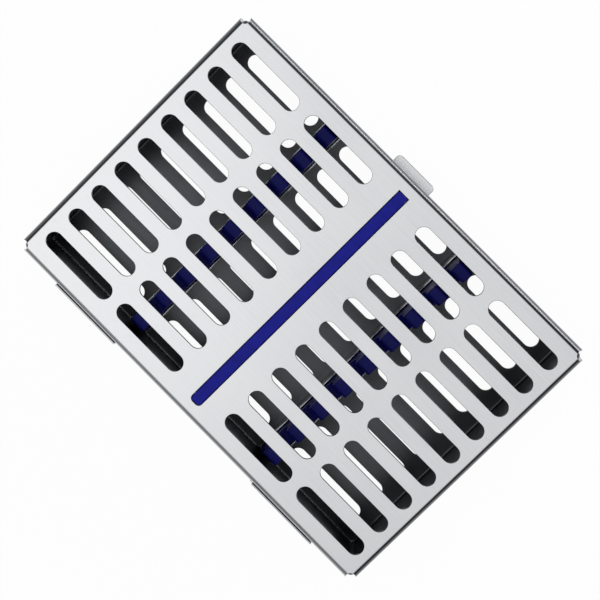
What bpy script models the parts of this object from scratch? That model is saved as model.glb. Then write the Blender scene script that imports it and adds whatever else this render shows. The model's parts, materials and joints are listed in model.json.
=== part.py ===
"""Instrument cassette: a folded steel tray with blue silicone combs, a perforated hinged lid and a slide latch.

Metres, +Z up. The origin is the middle of the tray's underside, X runs along the long side, the latch
is at -Y and the hinge at +Y. The lid turns about the hinge pins and the latch slides along X.
"""

import math

import bmesh
import bpy
from mathutils import Matrix, Vector

# Sheet gauges and clearances
SHEET = 0.001
STRIP = 0.0008
SEAT_GAP = 0.0003
LID_SEAT = 0.0004
CAP_CLEARANCE = 0.0006
SWING_CLEARANCE = 0.0008
OVERRUN = 0.002

# Lid
LID_LENGTH = 0.203
LID_WIDTH = 0.140
LID_TOP = 0.032
LID_FLANGE = 0.010
BEND_RADIUS = 0.002
RELIEF_RADIUS = 0.0022

# Slots of the lid and the floor
SLOT_ROWS = 9
SLOT_WIDTH = 0.0075
ROW_MARGIN = 0.0132
LID_END_MARGIN = 0.0066
COLUMN_GAP = 0.0058
CENTRE_BAND = 0.0284
FLOOR_END_MARGIN = 0.0083
FLOOR_RIB = 0.008
RAIL_BAND = 0.0165

# Tray
WALL_CORNER_RADIUS = 0.003
FLOOR_BEND_RADIUS = 0.002

# Comb rails and their channels
RAIL_SPREAD = 0.082
RAIL_WIDTH = 0.0076
RAIL_TOP = 0.025
NOTCH_DEPTH = 0.011
TOOTH_WIDTH = 0.0062
TOOTH_ROUND = 0.0014
CHANNEL_HEIGHT = 0.008
STRIP_BEND = 0.0011

# Hold-down bar and its channel under the lid
BAR_LENGTH = 0.1254
BAR_WIDTH = 0.0050
BAR_PROUD = 0.0003
BAR_SHOULDER = 0.0030
BAR_SHOULDER_DEPTH = 0.0025
BAR_DROP = 0.0105
BAR_END_ROUND = 0.0016
BAR_EMBED = 0.0005
CHANNEL_FOOT = 0.0044

# Hinge
KNUCKLES = 5
LEAF_WIDTH = 0.036
HINGE_END_MARGIN = 0.0235
PIN_RADIUS = 0.00075
PIN_CLEARANCE = 0.00025
PIN_HEAD_RADIUS = 0.0012
PIN_HEAD = 0.0005
HINGE_BELOW_FLANGE = 0.002
LEAF_HEIGHT = 0.0075
JOGGLE_DROP = 0.0034
JOGGLE_RISE = 0.0022
ROLL_DEGREES = 268

# Latch
LATCH_LEVEL = 0.012
LATCH_HEIGHT = 0.006
LATCH_END = 0.003
TOE = 0.004
TOE_CORNER = 0.0009
FINGER_TOE = 0.0052
TOE_HEIGHT = 0.0026
CATCH_LEG = 0.005
CATCH_FOOT = 0.005
CATCH_ASIDE = 0.003
TOE_CLEARANCE = 0.0004
RELEASE_GAP = 0.0006
LIP_WIDTH = 0.022
LIP_OFFSET = 0.002
LIP_PROUD = 0.004
LIP_ROUND = 0.002
LIP_BEND = 0.001
WINDOW_ROUND = 0.0006
RIVET_SHANK = 0.0012
RIVET_SHOULDER = 0.0016
RIVET_HEAD = 0.0030
RIVET_HEAD_DEPTH = 0.0008
RIVET_TAIL = 0.0024
RIVET_TAIL_DEPTH = 0.0005
RIVET_PLACE_SHARE = 0.36
WASHER_RADIUS = 0.0032
WASHER_DEPTH = 0.0008

# Faces along the round stretches
CORNER_STEPS = 5
BEND_STEPS = 3
SLOT_STEPS = 8
NOTCH_STEPS = 8
ROUND_STEPS = 3
PIN_SIDES = 16
RIVET_SIDES = 20
RELIEF_SIDES = 24
ROLL_STEPS = 14
SHARP_EDGE_DEGREES = 35

# Lid levels and halves worked out from the sizes above
LID_UNDERSIDE = LID_TOP - SHEET
RIM = LID_UNDERSIDE - LID_SEAT
FLANGE_BOTTOM = LID_TOP - LID_FLANGE
LID_HALF_X = LID_LENGTH / 2
LID_HALF_Y = LID_WIDTH / 2
TRAY_HALF_X = LID_HALF_X - SHEET - CAP_CLEARANCE
TRAY_HALF_Y = LID_HALF_Y - SHEET - CAP_CLEARANCE
INNER_HALF_Y = TRAY_HALF_Y - SHEET
SLOT_PITCH = (LID_WIDTH - 2 * ROW_MARGIN) / (SLOT_ROWS - 1)
RAIL_PLACE = RAIL_SPREAD / 2

# Hinge axis, behind the lid's rear flange and below its edge
ROLL_RADIUS = PIN_RADIUS + PIN_CLEARANCE + STRIP / 2
KNUCKLE_RADIUS = ROLL_RADIUS + STRIP / 2
HINGE_Y = LID_HALF_Y + SEAT_GAP + KNUCKLE_RADIUS
HINGE_Z = FLANGE_BOTTOM - HINGE_BELOW_FLANGE
KNUCKLE_WIDTH = LEAF_WIDTH / KNUCKLES
HINGE_PLACE = LID_HALF_X - HINGE_END_MARGIN - LEAF_WIDTH / 2

# Latch planes and travel
LATCH_PLAY = WASHER_DEPTH + 2 * SEAT_GAP
LATCH_OUTER_Y = -INNER_HALF_Y + LATCH_PLAY
LATCH_MIDDLE_Y = LATCH_OUTER_Y + SHEET / 2
LATCH_INNER_Y = LATCH_OUTER_Y + SHEET
LATCH_TOP = LATCH_LEVEL + LATCH_HEIGHT
LATCH_TRAVEL = TOE + RELEASE_GAP - SEAT_GAP
TOE_LOW = LATCH_TOP + SEAT_GAP
LATCH_RIVET_Z = LATCH_LEVEL + LATCH_HEIGHT / 2
RIVET_END_Y = LATCH_INNER_Y + SEAT_GAP + RIVET_HEAD_DEPTH

# Rails stop short of the rivet heads at the front, and alike at the back
RAIL_HALF = -RIVET_END_Y - SEAT_GAP
RAIL_LOW = SHEET + SEAT_GAP + STRIP + SEAT_GAP

# Levels of the hold-down bar and its hat channel
BAR_HALF_WIDTH = BAR_WIDTH / 2
BAR_SHOULDER_HALF = BAR_HALF_WIDTH + BAR_SHOULDER
SHOULDER_TOP = LID_UNDERSIDE - SEAT_GAP
SHOULDER_LOW = SHOULDER_TOP - BAR_SHOULDER_DEPTH
BAR_LOW = LID_TOP - BAR_DROP
HAT_WEB_MIDDLE = SHOULDER_LOW - SEAT_GAP - STRIP / 2
HAT_SIDE = BAR_SHOULDER_HALF + SEAT_GAP + STRIP / 2
HAT_HALF = HAT_SIDE + CHANNEL_FOOT

STEEL = ("brushed_steel", (0.72, 0.72, 0.74, 1.0), 0.32, 1.0)
POLISHED = ("polished_steel", (0.66, 0.67, 0.69, 1.0), 0.18, 1.0)
SILICONE = ("blue_silicone", (0.013, 0.015, 0.21, 1.0), 0.48, 0.0)


def clear_scene():
    """Remove every object so that the script can run again in the same file."""
    for old in list(bpy.data.objects):
        bpy.data.objects.remove(old, do_unlink=True)


def material(finish):
    """Return the named material, made once from a colour, a roughness and a metallic value."""
    name, colour, roughness, metallic = finish
    made = bpy.data.materials.get(name)
    if made is None:
        made = bpy.data.materials.new(name)
        made.use_nodes = True
        shader = made.node_tree.nodes["Principled BSDF"]
        shader.inputs["Base Color"].default_value = colour
        shader.inputs["Roughness"].default_value = roughness
        shader.inputs["Metallic"].default_value = metallic
    return made


def axis_empty(name, place):
    """Add an empty on a joint's axis, which the moving pieces hang from."""
    empty = bpy.data.objects.new(name, None)
    empty.location = place
    bpy.context.scene.collection.objects.link(empty)
    return empty


def add_solid(name, lofts, finish, pivot=None):
    """Make one object from closed lofts, each a list of loops and whether it runs round on itself."""
    work = bmesh.new()
    for loops, ring in lofts:
        rows = [[work.verts.new(point) for point in loop] for loop in loops]
        pairs = list(zip(rows, rows[1:]))
        if ring:
            pairs.append((rows[-1], rows[0]))
        else:
            work.faces.new(reversed(rows[0]))
            work.faces.new(rows[-1])
        for lower, upper in pairs:
            for index in range(len(lower)):
                work.faces.new((lower[index - 1], lower[index], upper[index], upper[index - 1]))
    bmesh.ops.recalc_face_normals(work, faces=work.faces)
    mesh = bpy.data.meshes.new(name)
    work.to_mesh(mesh)
    work.free()
    mesh.shade_smooth()
    mesh.set_sharp_from_angle(angle=math.radians(SHARP_EDGE_DEGREES))
    made = bpy.data.objects.new(name, mesh)
    if pivot is not None:
        mesh.transform(Matrix.Translation(-Vector(pivot.location)))
        made.parent = pivot
    if finish is not None:
        mesh.materials.append(material(finish))
    bpy.context.scene.collection.objects.link(made)
    return made


def boolean(target, operation, name, lofts, pivot=None):
    """Cut or join a hidden helper solid with the exact solver."""
    helper = add_solid(name, lofts, None, pivot)
    helper.hide_render = True
    helper.display_type = "WIRE"
    step = target.modifiers.new(name, "BOOLEAN")
    step.operation = operation
    step.solver = "EXACT"
    step.object = helper


def on_axis(axis, outline, place):
    """Set a flat outline square to an axis: (y, z) on X, (x, z) on Y and (x, y) on Z."""
    if axis == "X":
        return [(place, first, second) for first, second in outline]
    if axis == "Y":
        return [(first, place, second) for first, second in outline]
    return [(first, second, place) for first, second in outline]


def prism(axis, outline, low, high):
    """A straight extrusion of an outline between two places on an axis."""
    return [on_axis(axis, outline, low), on_axis(axis, outline, high)], False


def turned(axis, centre, profile, sides):
    """A turned piece, from (place, radius) steps along an axis."""
    loops = []
    for place, radius in profile:
        loops.append(on_axis(axis, circle(centre, radius, sides), place))
    return loops, False


def circle(centre, radius, sides):
    """Points round a full circle."""
    turn = 2 * math.pi / sides
    return [
        (centre[0] + radius * math.cos(turn * step), centre[1] + radius * math.sin(turn * step))
        for step in range(sides)
    ]


def arc(centre, radius, start, end, steps):
    """Points on an arc between two angles in degrees, ends included."""
    points = []
    for step in range(steps + 1):
        angle = math.radians(start + (end - start) * step / steps)
        points.append((centre[0] + radius * math.cos(angle), centre[1] + radius * math.sin(angle)))
    return points


def rectangle(left, right, low, high):
    """The four corners of an upright rectangle."""
    return [(left, low), (right, low), (right, high), (left, high)]


def rounded_rectangle(half_x, half_y, radius, steps, centre=(0, 0)):
    """A rectangle with four round corners."""
    points = []
    for sign_x, sign_y, start in ((1, 1, 0), (-1, 1, 90), (-1, -1, 180), (1, -1, 270)):
        corner = (centre[0] + sign_x * (half_x - radius), centre[1] + sign_y * (half_y - radius))
        points += arc(corner, radius, start, start + 90, steps)
    return points


def stadium(centre, length, width, steps):
    """A slot along the first axis with half-round ends."""
    radius = width / 2
    reach = length / 2 - radius
    right = arc((centre[0] + reach, centre[1]), radius, -90, 90, steps)
    left = arc((centre[0] - reach, centre[1]), radius, 90, 270, steps)
    return right + left


def bent_path(corners, radius, steps):
    """A sheet's middle line with each inner corner rounded to a bend."""
    points = [Vector(corners[0])]
    for before, corner, after in zip(corners, corners[1:], corners[2:]):
        corner = Vector(corner)
        back = (Vector(before) - corner).normalized()
        ahead = (Vector(after) - corner).normalized()
        half_angle = back.angle(ahead) / 2
        setback = radius / math.tan(half_angle)
        centre = corner + (back + ahead).normalized() * (radius / math.sin(half_angle))
        first = corner + back * setback - centre
        last = corner + ahead * setback - centre
        sweep = first.angle_signed(last)
        for step in range(steps + 1):
            turn = -sweep * step / steps
            points.append(centre + Matrix.Rotation(turn, 2) @ first)
    points.append(Vector(corners[-1]))
    return points


def side_offsets(path):
    """The mitred sideways direction at each point of a path."""
    sides = []
    for index, point in enumerate(path):
        runs = []
        if index > 0:
            runs.append((Vector(point) - Vector(path[index - 1])).normalized())
        if index < len(path) - 1:
            runs.append((Vector(path[index + 1]) - Vector(point)).normalized())
        normals = [Vector((-run.y, run.x)) for run in runs]
        side = (normals[0] + normals[-1]).normalized()
        sides.append(side / side.dot(normals[0]))
    return sides


def strip_outline(path, gauge):
    """The cross-section of a bent strip that follows a path."""
    sides = side_offsets(path)
    left = [Vector(point) + side * gauge / 2 for point, side in zip(path, sides)]
    right = [Vector(point) - side * gauge / 2 for point, side in zip(path, sides)]
    return [tuple(point) for point in left + right[::-1]]


def row_centres():
    """The middles of the slot rows across the lid and the floor."""
    first = -SLOT_PITCH * (SLOT_ROWS - 1) / 2
    return [first + SLOT_PITCH * row for row in range(SLOT_ROWS)]


def slot_cutters(columns, low, high):
    """Slot prisms for all rows, from (start, end) pairs of columns on the +X side, and mirrored."""
    lofts = []
    for start, end in columns:
        for side in (-1, 1):
            for row in row_centres():
                outline = stadium((side * (start + end) / 2, row), end - start, SLOT_WIDTH, SLOT_STEPS)
                lofts.append(prism("Z", outline, low - OVERRUN, high + OVERRUN))
    return lofts


def swing_limit(level):
    """How far back a piece under the lid may reach at a level and still swing clear of the rim."""
    reach = math.hypot(HINGE_Y - INNER_HALF_Y, RIM - HINGE_Z) + SWING_CLEARANCE
    drop = min(abs(level - HINGE_Z), reach)
    return HINGE_Y - math.sqrt(reach * reach - drop * drop)


def plan_loop(inset, level):
    """One level of the tray's outline, drawn in by an inset."""
    half_x = TRAY_HALF_X - inset
    half_y = TRAY_HALF_Y - inset
    outline = rounded_rectangle(half_x, half_y, WALL_CORNER_RADIUS - inset, CORNER_STEPS)
    return on_axis("Z", outline, level)


def bend_levels(radius, extra_inset, floor):
    """Inset and level at each step up a bend between the floor and a wall."""
    levels = []
    for across, up in arc((radius, radius), radius, 270, 180, BEND_STEPS):
        levels.append((extra_inset + across, floor + up))
    return levels


def make_tray():
    """The tray: floor, four walls and round corners in one sheet, with slots, a window and rivet holes."""
    loops = [plan_loop(inset, level) for inset, level in bend_levels(FLOOR_BEND_RADIUS, 0, 0)]
    loops.append(plan_loop(0, RIM))
    loops.append(plan_loop(SHEET, RIM))
    inner = bend_levels(FLOOR_BEND_RADIUS - SHEET, SHEET, SHEET)
    loops += [plan_loop(inset, level) for inset, level in reversed(inner)]
    tray = add_solid("base_tray", [(loops, False)], STEEL)

    band = RAIL_BAND / 2
    inner_column = (FLOOR_RIB / 2, RAIL_PLACE - band)
    outer_column = (RAIL_PLACE + band, TRAY_HALF_X - FLOOR_END_MARGIN)
    boolean(tray, "DIFFERENCE", "floor_slots", slot_cutters((inner_column, outer_column), 0, SHEET))

    wall = (-TRAY_HALF_Y - OVERRUN, -INNER_HALF_Y + OVERRUN)
    left = LIP_OFFSET - LIP_WIDTH / 2 - LATCH_TRAVEL - SEAT_GAP
    right = LIP_OFFSET + LIP_WIDTH / 2 + SEAT_GAP
    middle = ((left + right) / 2, lip_level())
    half_height = SHEET / 2 + SEAT_GAP
    window = rounded_rectangle((right - left) / 2, half_height, WINDOW_ROUND, ROUND_STEPS, middle)
    cuts = [prism("Y", window, *wall)]
    for place in rivet_places():
        hole = RIVET_SHANK + SEAT_GAP
        cuts.append(turned("Y", (place, LATCH_RIVET_Z), [(wall[0], hole), (wall[1], hole)], RIVET_SIDES))
    boolean(tray, "DIFFERENCE", "front_wall_cuts", cuts)


def lid_loop(inset, level):
    """One level of the lid's outline, drawn in by an inset."""
    corner = BEND_RADIUS + SEAT_GAP - inset
    outline = rounded_rectangle(LID_HALF_X - inset, LID_HALF_Y - inset, corner, ROUND_STEPS)
    return on_axis("Z", outline, level)


def bar_outline(gap):
    """The hold-down bar seen from above: square at the front and round-cornered towards the hinge."""
    half = BAR_HALF_WIDTH + gap
    front = -BAR_LENGTH / 2 - gap
    back = BAR_LENGTH / 2 + gap
    radius = BAR_END_ROUND + gap
    right = arc((half - radius, back - radius), radius, 0, 90, ROUND_STEPS)
    left = arc((radius - half, back - radius), radius, 90, 180, ROUND_STEPS)
    return [(-half, front), (half, front)] + right + left


def make_lid(hinge):
    """The lid: a perforated plate with four flanges turned down and round reliefs at its corners."""
    inner_bend = bend_levels(BEND_RADIUS - SHEET, SHEET, SHEET)
    outer_bend = bend_levels(BEND_RADIUS, 0, 0)
    loops = [lid_loop(inset, LID_TOP - drop) for inset, drop in inner_bend]
    loops.append(lid_loop(SHEET, FLANGE_BOTTOM))
    loops.append(lid_loop(0, FLANGE_BOTTOM))
    loops += [lid_loop(inset, LID_TOP - drop) for inset, drop in reversed(outer_bend)]
    lid = add_solid("lid_cover", [(loops, False)], STEEL, hinge)

    reliefs = []
    for sign_x in (-1, 1):
        for sign_y in (-1, 1):
            corner = (sign_x * (LID_HALF_X - BEND_RADIUS), sign_y * (LID_HALF_Y - BEND_RADIUS))
            profile = [(FLANGE_BOTTOM - OVERRUN, RELIEF_RADIUS), (LID_TOP + OVERRUN, RELIEF_RADIUS)]
            reliefs.append(turned("Z", corner, profile, RELIEF_SIDES))
            box = rectangle(
                min(corner[0], sign_x * (LID_HALF_X + OVERRUN)),
                max(corner[0], sign_x * (LID_HALF_X + OVERRUN)),
                min(corner[1], sign_y * (LID_HALF_Y + OVERRUN)),
                max(corner[1], sign_y * (LID_HALF_Y + OVERRUN)),
            )
            boolean(lid, "DIFFERENCE", "corner_clearance", [prism("Z", box, profile[0][0], profile[1][0])], hinge)
    boolean(lid, "DIFFERENCE", "corner_reliefs", reliefs, hinge)

    outer_end = LID_HALF_X - LID_END_MARGIN
    length = (outer_end - CENTRE_BAND / 2 - COLUMN_GAP) / 2
    inner_column = (CENTRE_BAND / 2, CENTRE_BAND / 2 + length)
    outer_column = (outer_end - length, outer_end)
    slots = slot_cutters((inner_column, outer_column), LID_UNDERSIDE, LID_TOP)
    slots.append(prism("Z", bar_outline(SEAT_GAP), LID_UNDERSIDE - OVERRUN, LID_TOP + OVERRUN))
    boolean(lid, "DIFFERENCE", "lid_slots", slots, hinge)


def comb_outline():
    """A comb rail from the side: nine rounded teeth under the slot rows, with round notches between."""
    notch = (SLOT_PITCH - TOOTH_WIDTH) / 2
    level = RAIL_TOP - NOTCH_DEPTH + notch
    half_tooth = TOOTH_WIDTH / 2
    shoulder = RAIL_TOP - TOOTH_ROUND
    teeth = list(reversed(row_centres()))
    points = [(-RAIL_HALF, RAIL_LOW), (RAIL_HALF, RAIL_LOW), (RAIL_HALF, level - notch)]
    end_notch = RAIL_HALF - (teeth[0] + half_tooth)
    run_out = min(notch, end_notch)
    points += arc((teeth[0] + half_tooth + run_out, level), run_out, 270, 180, NOTCH_STEPS // 2)[1:]
    for index, middle in enumerate(teeth):
        right = (middle + half_tooth - TOOTH_ROUND, shoulder)
        left = (middle - half_tooth + TOOTH_ROUND, shoulder)
        points += arc(right, TOOTH_ROUND, 0, 90, ROUND_STEPS)
        points += arc(left, TOOTH_ROUND, 90, 180, ROUND_STEPS)
        if index < len(teeth) - 1:
            points += arc((middle - half_tooth - notch, level), notch, 0, -180, NOTCH_STEPS)
    points += arc((teeth[-1] - half_tooth - run_out, level), run_out, 0, -90, NOTCH_STEPS // 2)[:-1]
    points.append((-RAIL_HALF, level - notch))
    return points


def make_rail(side, middle):
    """One silicone comb and the folded channel it stands in."""
    half = RAIL_WIDTH / 2
    add_solid("silicone_rail_" + side, [prism("X", comb_outline(), middle - half, middle + half)], SILICONE)

    wall = half + SEAT_GAP + STRIP / 2
    web = SHEET + SEAT_GAP + STRIP / 2
    top = web + CHANNEL_HEIGHT
    corners = [(middle - wall, top), (middle - wall, web), (middle + wall, web), (middle + wall, top)]
    outline = strip_outline(bent_path(corners, STRIP_BEND - STRIP / 2, ROUND_STEPS), STRIP)
    add_solid("rail_channel_" + side, [prism("Y", outline, -RAIL_HALF, RAIL_HALF)], POLISHED)


def make_hold_down(hinge):
    """The silicone bar in the lid's middle slot and the hat channel that keeps it there."""
    rib_end = swing_limit(BAR_LOW)
    rib_bottom = arc((0, BAR_LOW + BAR_HALF_WIDTH), BAR_HALF_WIDTH, 180, 360, NOTCH_STEPS)
    section = rib_bottom + [
        (BAR_HALF_WIDTH, SHOULDER_LOW),
        (BAR_SHOULDER_HALF, SHOULDER_LOW),
        (BAR_SHOULDER_HALF, SHOULDER_TOP),
        (-BAR_SHOULDER_HALF, SHOULDER_TOP),
        (-BAR_SHOULDER_HALF, SHOULDER_LOW),
        (-BAR_HALF_WIDTH, SHOULDER_LOW),
    ]
    bar = add_solid("hold_down_bar", [prism("Y", section, -rib_end, rib_end)], SILICONE, hinge)
    stem = prism("Z", bar_outline(0), SHOULDER_TOP - BAR_EMBED, LID_TOP + BAR_PROUD)
    boolean(bar, "UNION", "bar_stem", [stem], hinge)

    foot = SHOULDER_TOP - STRIP / 2
    corners = [
        (-HAT_HALF, foot),
        (-HAT_SIDE, foot),
        (-HAT_SIDE, HAT_WEB_MIDDLE),
        (HAT_SIDE, HAT_WEB_MIDDLE),
        (HAT_SIDE, foot),
        (HAT_HALF, foot),
    ]
    hat_low = HAT_WEB_MIDDLE - STRIP / 2
    hat_end = swing_limit(hat_low)
    outline = strip_outline(bent_path(corners, STRIP_BEND - STRIP / 2, ROUND_STEPS), STRIP)
    hat = add_solid("hold_down_channel", [prism("Y", outline, -hat_end, hat_end)], POLISHED, hinge)
    slot = BAR_HALF_WIDTH + SEAT_GAP
    gap = rectangle(-slot, slot, -rib_end - SEAT_GAP, rib_end + SEAT_GAP)
    boolean(hat, "DIFFERENCE", "rib_slot", [prism("Z", gap, hat_low - OVERRUN, SHOULDER_LOW)], hinge)


def knuckle_ranges(middle, first):
    """The (start, end) of every other knuckle along a leaf, from the first or the second one."""
    start = middle - LEAF_WIDTH / 2
    return [
        (start + KNUCKLE_WIDTH * index, start + KNUCKLE_WIDTH * (index + 1))
        for index in range(first, KNUCKLES, 2)
    ]


def make_leaf(name, path, middle, cleared, pivot=None):
    """A hinge leaf rolled from strip, with notches where the other leaf's knuckles turn."""
    leaf_range = (middle - LEAF_WIDTH / 2, middle + LEAF_WIDTH / 2)
    leaf = add_solid(name, [prism("X", strip_outline(path, STRIP), *leaf_range)], POLISHED, pivot)
    room = KNUCKLE_RADIUS + SEAT_GAP
    box = rectangle(HINGE_Y - room, HINGE_Y + room, HINGE_Z - room, HINGE_Z + room)
    cuts = []
    for start, end in cleared:
        at_edge = (start <= leaf_range[0], end >= leaf_range[1])
        low = start - (OVERRUN if at_edge[0] else SEAT_GAP / 2)
        high = end + (OVERRUN if at_edge[1] else SEAT_GAP / 2)
        cuts.append(prism("X", box, low, high))
    boolean(leaf, "DIFFERENCE", name + "_notches", cuts, pivot)


def make_hinge(side, middle, hinge):
    """A pair of leaves and their pin: three knuckles on the tray and two on the lid."""
    tangent = HINGE_Y - ROLL_RADIUS
    axis = (HINGE_Y, HINGE_Z)
    wall = TRAY_HALF_Y + SEAT_GAP + STRIP / 2
    joggle_top = HINGE_Z - JOGGLE_RISE
    joggle_low = joggle_top - (JOGGLE_DROP - JOGGLE_RISE)
    leaf_low = joggle_low - LEAF_HEIGHT
    roll = arc(axis, ROLL_RADIUS, 180, 180 - ROLL_DEGREES, ROLL_STEPS)
    base_path = [(wall, leaf_low), (wall, joggle_low), (tangent, joggle_top)] + roll
    lid_knuckles = knuckle_ranges(middle, 1)
    make_leaf("hinge_leaf_base_" + side, base_path, middle, lid_knuckles)

    leaf_top = LID_TOP - BEND_RADIUS
    roll = arc(axis, ROLL_RADIUS, 180, 180 + ROLL_DEGREES, ROLL_STEPS)
    make_leaf("hinge_leaf_lid_" + side, [(tangent, leaf_top)] + roll, middle, knuckle_ranges(middle, 0), hinge)

    reach = LEAF_WIDTH / 2 + SEAT_GAP
    round_edge = PIN_HEAD_RADIUS - PIN_HEAD / 2
    ends = [
        (reach, PIN_RADIUS),
        (reach, PIN_HEAD_RADIUS),
        (reach + PIN_HEAD / 2, PIN_HEAD_RADIUS),
        (reach + PIN_HEAD, round_edge),
    ]
    profile = [(middle - place, radius) for place, radius in reversed(ends)]
    profile += [(middle + place, radius) for place, radius in ends]
    add_solid("hinge_pin_" + side, [turned("X", axis, profile, PIN_SIDES)], POLISHED)


def lip_level():
    """Height of the thumb lip's middle plane."""
    return LATCH_LEVEL - LIP_BEND


def catch_starts():
    """Left edge of each catch's leg, one on either side of the hold-down channel."""
    aside = HAT_HALF + CATCH_ASIDE
    return (-aside - TOE - CATCH_LEG, aside)


def latch_ends():
    """Left and right end of the latch plate."""
    left_catch, right_catch = catch_starts()
    last_finger = right_catch + CATCH_LEG + TOE + RELEASE_GAP + FINGER_TOE + CATCH_LEG
    return left_catch - LATCH_END, last_finger + LATCH_END


def rivet_places():
    """Where the two guide rivets stand along the latch plate."""
    left, right = latch_ends()
    middle = (left + right) / 2
    reach = (right - left) * RIVET_PLACE_SHARE
    return (middle - reach, middle + reach)


def make_catch(side, start, hinge):
    """A catch under the lid: a foot, a leg down inside the front wall and a toe to one side."""
    foot = SHOULDER_TOP - SHEET / 2
    corners = [(LATCH_MIDDLE_Y + CATCH_FOOT, foot), (LATCH_MIDDLE_Y, foot), (LATCH_MIDDLE_Y, TOE_LOW)]
    outline = strip_outline(bent_path(corners, STRIP_BEND, ROUND_STEPS), SHEET)
    catch = add_solid("latch_catch_" + side, [prism("X", outline, start, start + CATCH_LEG)], POLISHED, hinge)
    root, tip, toe_top = start + CATCH_LEG / 2, start + CATCH_LEG + TOE, TOE_LOW + TOE_HEIGHT
    toe = [(root, TOE_LOW), (tip - TOE_CORNER, TOE_LOW), (tip, TOE_LOW + TOE_CORNER)]
    toe += [(tip, toe_top - TOE_CORNER), (tip - TOE_CORNER, toe_top), (root, toe_top)]
    boolean(catch, "UNION", "toe_" + side, [prism("Y", toe, LATCH_OUTER_Y, LATCH_INNER_Y)], hinge)


def lip_loft():
    """The thumb lip: a strip bent out from the plate's lower edge, with its outer corners rounded."""
    end = -LID_HALF_Y - LIP_PROUD
    corners = [(LATCH_MIDDLE_Y, LATCH_LEVEL + LATCH_HEIGHT / 2), (LATCH_MIDDLE_Y, lip_level()), (end, lip_level())]
    path = bent_path(corners, LIP_BEND, ROUND_STEPS)[:-1]
    halves = [LIP_WIDTH / 2] * len(path)
    for across, along in arc((0, 0), LIP_ROUND, 0, 90, ROUND_STEPS + 1):
        path.append(Vector((end + LIP_ROUND - along, lip_level())))
        halves.append(LIP_WIDTH / 2 - LIP_ROUND + across)
    loops = []
    for point, side, half in zip(path, side_offsets(path), halves):
        one = Vector(point) + side * SHEET / 2
        other = Vector(point) - side * SHEET / 2
        left, right = LIP_OFFSET - half, LIP_OFFSET + half
        loops.append([(left, *one), (right, *one), (right, *other), (left, *other)])
    return loops, False


def make_latch(slide):
    """The latch plate with two hooked fingers, two guide slots and the thumb lip."""
    left, right = latch_ends()
    finger_low = TOE_LOW + TOE_HEIGHT + TOE_CLEARANCE
    finger_top = finger_low + TOE_HEIGHT
    points = [(left, LATCH_LEVEL), (right, LATCH_LEVEL), (right, LATCH_TOP)]
    for start in reversed(catch_starts()):
        tip = start + CATCH_LEG + TOE + RELEASE_GAP
        stem = tip + FINGER_TOE
        points += [
            (stem + CATCH_LEG, LATCH_TOP),
            (stem + CATCH_LEG, finger_top),
            (tip, finger_top),
            (tip, finger_low),
            (stem, finger_low),
            (stem, LATCH_TOP),
        ]
    points.append((left, LATCH_TOP))
    plate = add_solid("latch_slide", [prism("Y", points, LATCH_OUTER_Y, LATCH_INNER_Y)], STEEL, slide)
    boolean(plate, "UNION", "thumb_lip", [lip_loft()], slide)

    cuts = []
    width = 2 * (RIVET_SHOULDER + SEAT_GAP)
    for place in rivet_places():
        centre = (place + LATCH_TRAVEL / 2, LATCH_RIVET_Z)
        outline = stadium(centre, width + LATCH_TRAVEL, width, SLOT_STEPS)
        cuts.append(prism("Y", outline, LATCH_OUTER_Y - OVERRUN / 2, LATCH_INNER_Y + OVERRUN))
    boolean(plate, "DIFFERENCE", "guide_slots", cuts, slide)


def make_guide(side, place):
    """A shouldered rivet through the front wall and the washer that holds the latch off the wall."""
    centre = (place, LATCH_RIVET_Z)
    tail_end = -TRAY_HALF_Y - SEAT_GAP
    head = LATCH_INNER_Y + SEAT_GAP
    shoulder = -INNER_HALF_Y + SEAT_GAP
    profile = [
        (tail_end - RIVET_TAIL_DEPTH, RIVET_TAIL - RIVET_TAIL_DEPTH),
        (tail_end - RIVET_TAIL_DEPTH / 2, RIVET_TAIL),
        (tail_end, RIVET_TAIL),
        (tail_end, RIVET_SHANK),
        (shoulder, RIVET_SHANK),
        (shoulder, RIVET_SHOULDER),
        (head, RIVET_SHOULDER),
        (head, RIVET_HEAD),
        (head + RIVET_HEAD_DEPTH / 2, RIVET_HEAD),
        (head + RIVET_HEAD_DEPTH, RIVET_HEAD - RIVET_HEAD_DEPTH),
    ]
    add_solid("latch_rivet_" + side, [turned("Y", centre, profile, RIVET_SIDES)], POLISHED)

    bore = RIVET_SHOULDER + SEAT_GAP
    near, far = shoulder, shoulder + WASHER_DEPTH
    steps = [(near, bore), (near, WASHER_RADIUS), (far, WASHER_RADIUS), (far, bore)]
    loops, _ = turned("Y", centre, steps, RIVET_SIDES)
    add_solid("latch_washer_" + side, [(loops, True)], POLISHED)


def main():
    """Build every piece in its place."""
    clear_scene()
    hinge = axis_empty("hinge_axis", (0, HINGE_Y, HINGE_Z))
    slide = axis_empty("latch_axis", (0, LATCH_MIDDLE_Y, LATCH_RIVET_Z))
    make_tray()
    make_lid(hinge)
    make_hold_down(hinge)
    make_latch(slide)
    left_catch, right_catch = catch_starts()
    make_catch("left", left_catch, hinge)
    make_catch("right", right_catch, hinge)
    left_rivet, right_rivet = rivet_places()
    make_guide("left", left_rivet)
    make_guide("right", right_rivet)
    for side, sign in (("left", -1), ("right", 1)):
        make_rail(side, sign * RAIL_PLACE)
        make_hinge(side, sign * HINGE_PLACE, hinge)


main()
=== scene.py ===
"""Looks of a dental instrument cassette: satin steel sheet, bright steel strip and navy blue silicone.

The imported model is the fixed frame. Each piece is made again here with fine round bends, tumbled edges
and its own procedural material, in the place where its solid lies.
"""

import json
import math

import bmesh
import bpy
from bpy.props import FloatProperty, FloatVectorProperty, PointerProperty
from mathutils import Matrix, Vector


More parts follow.
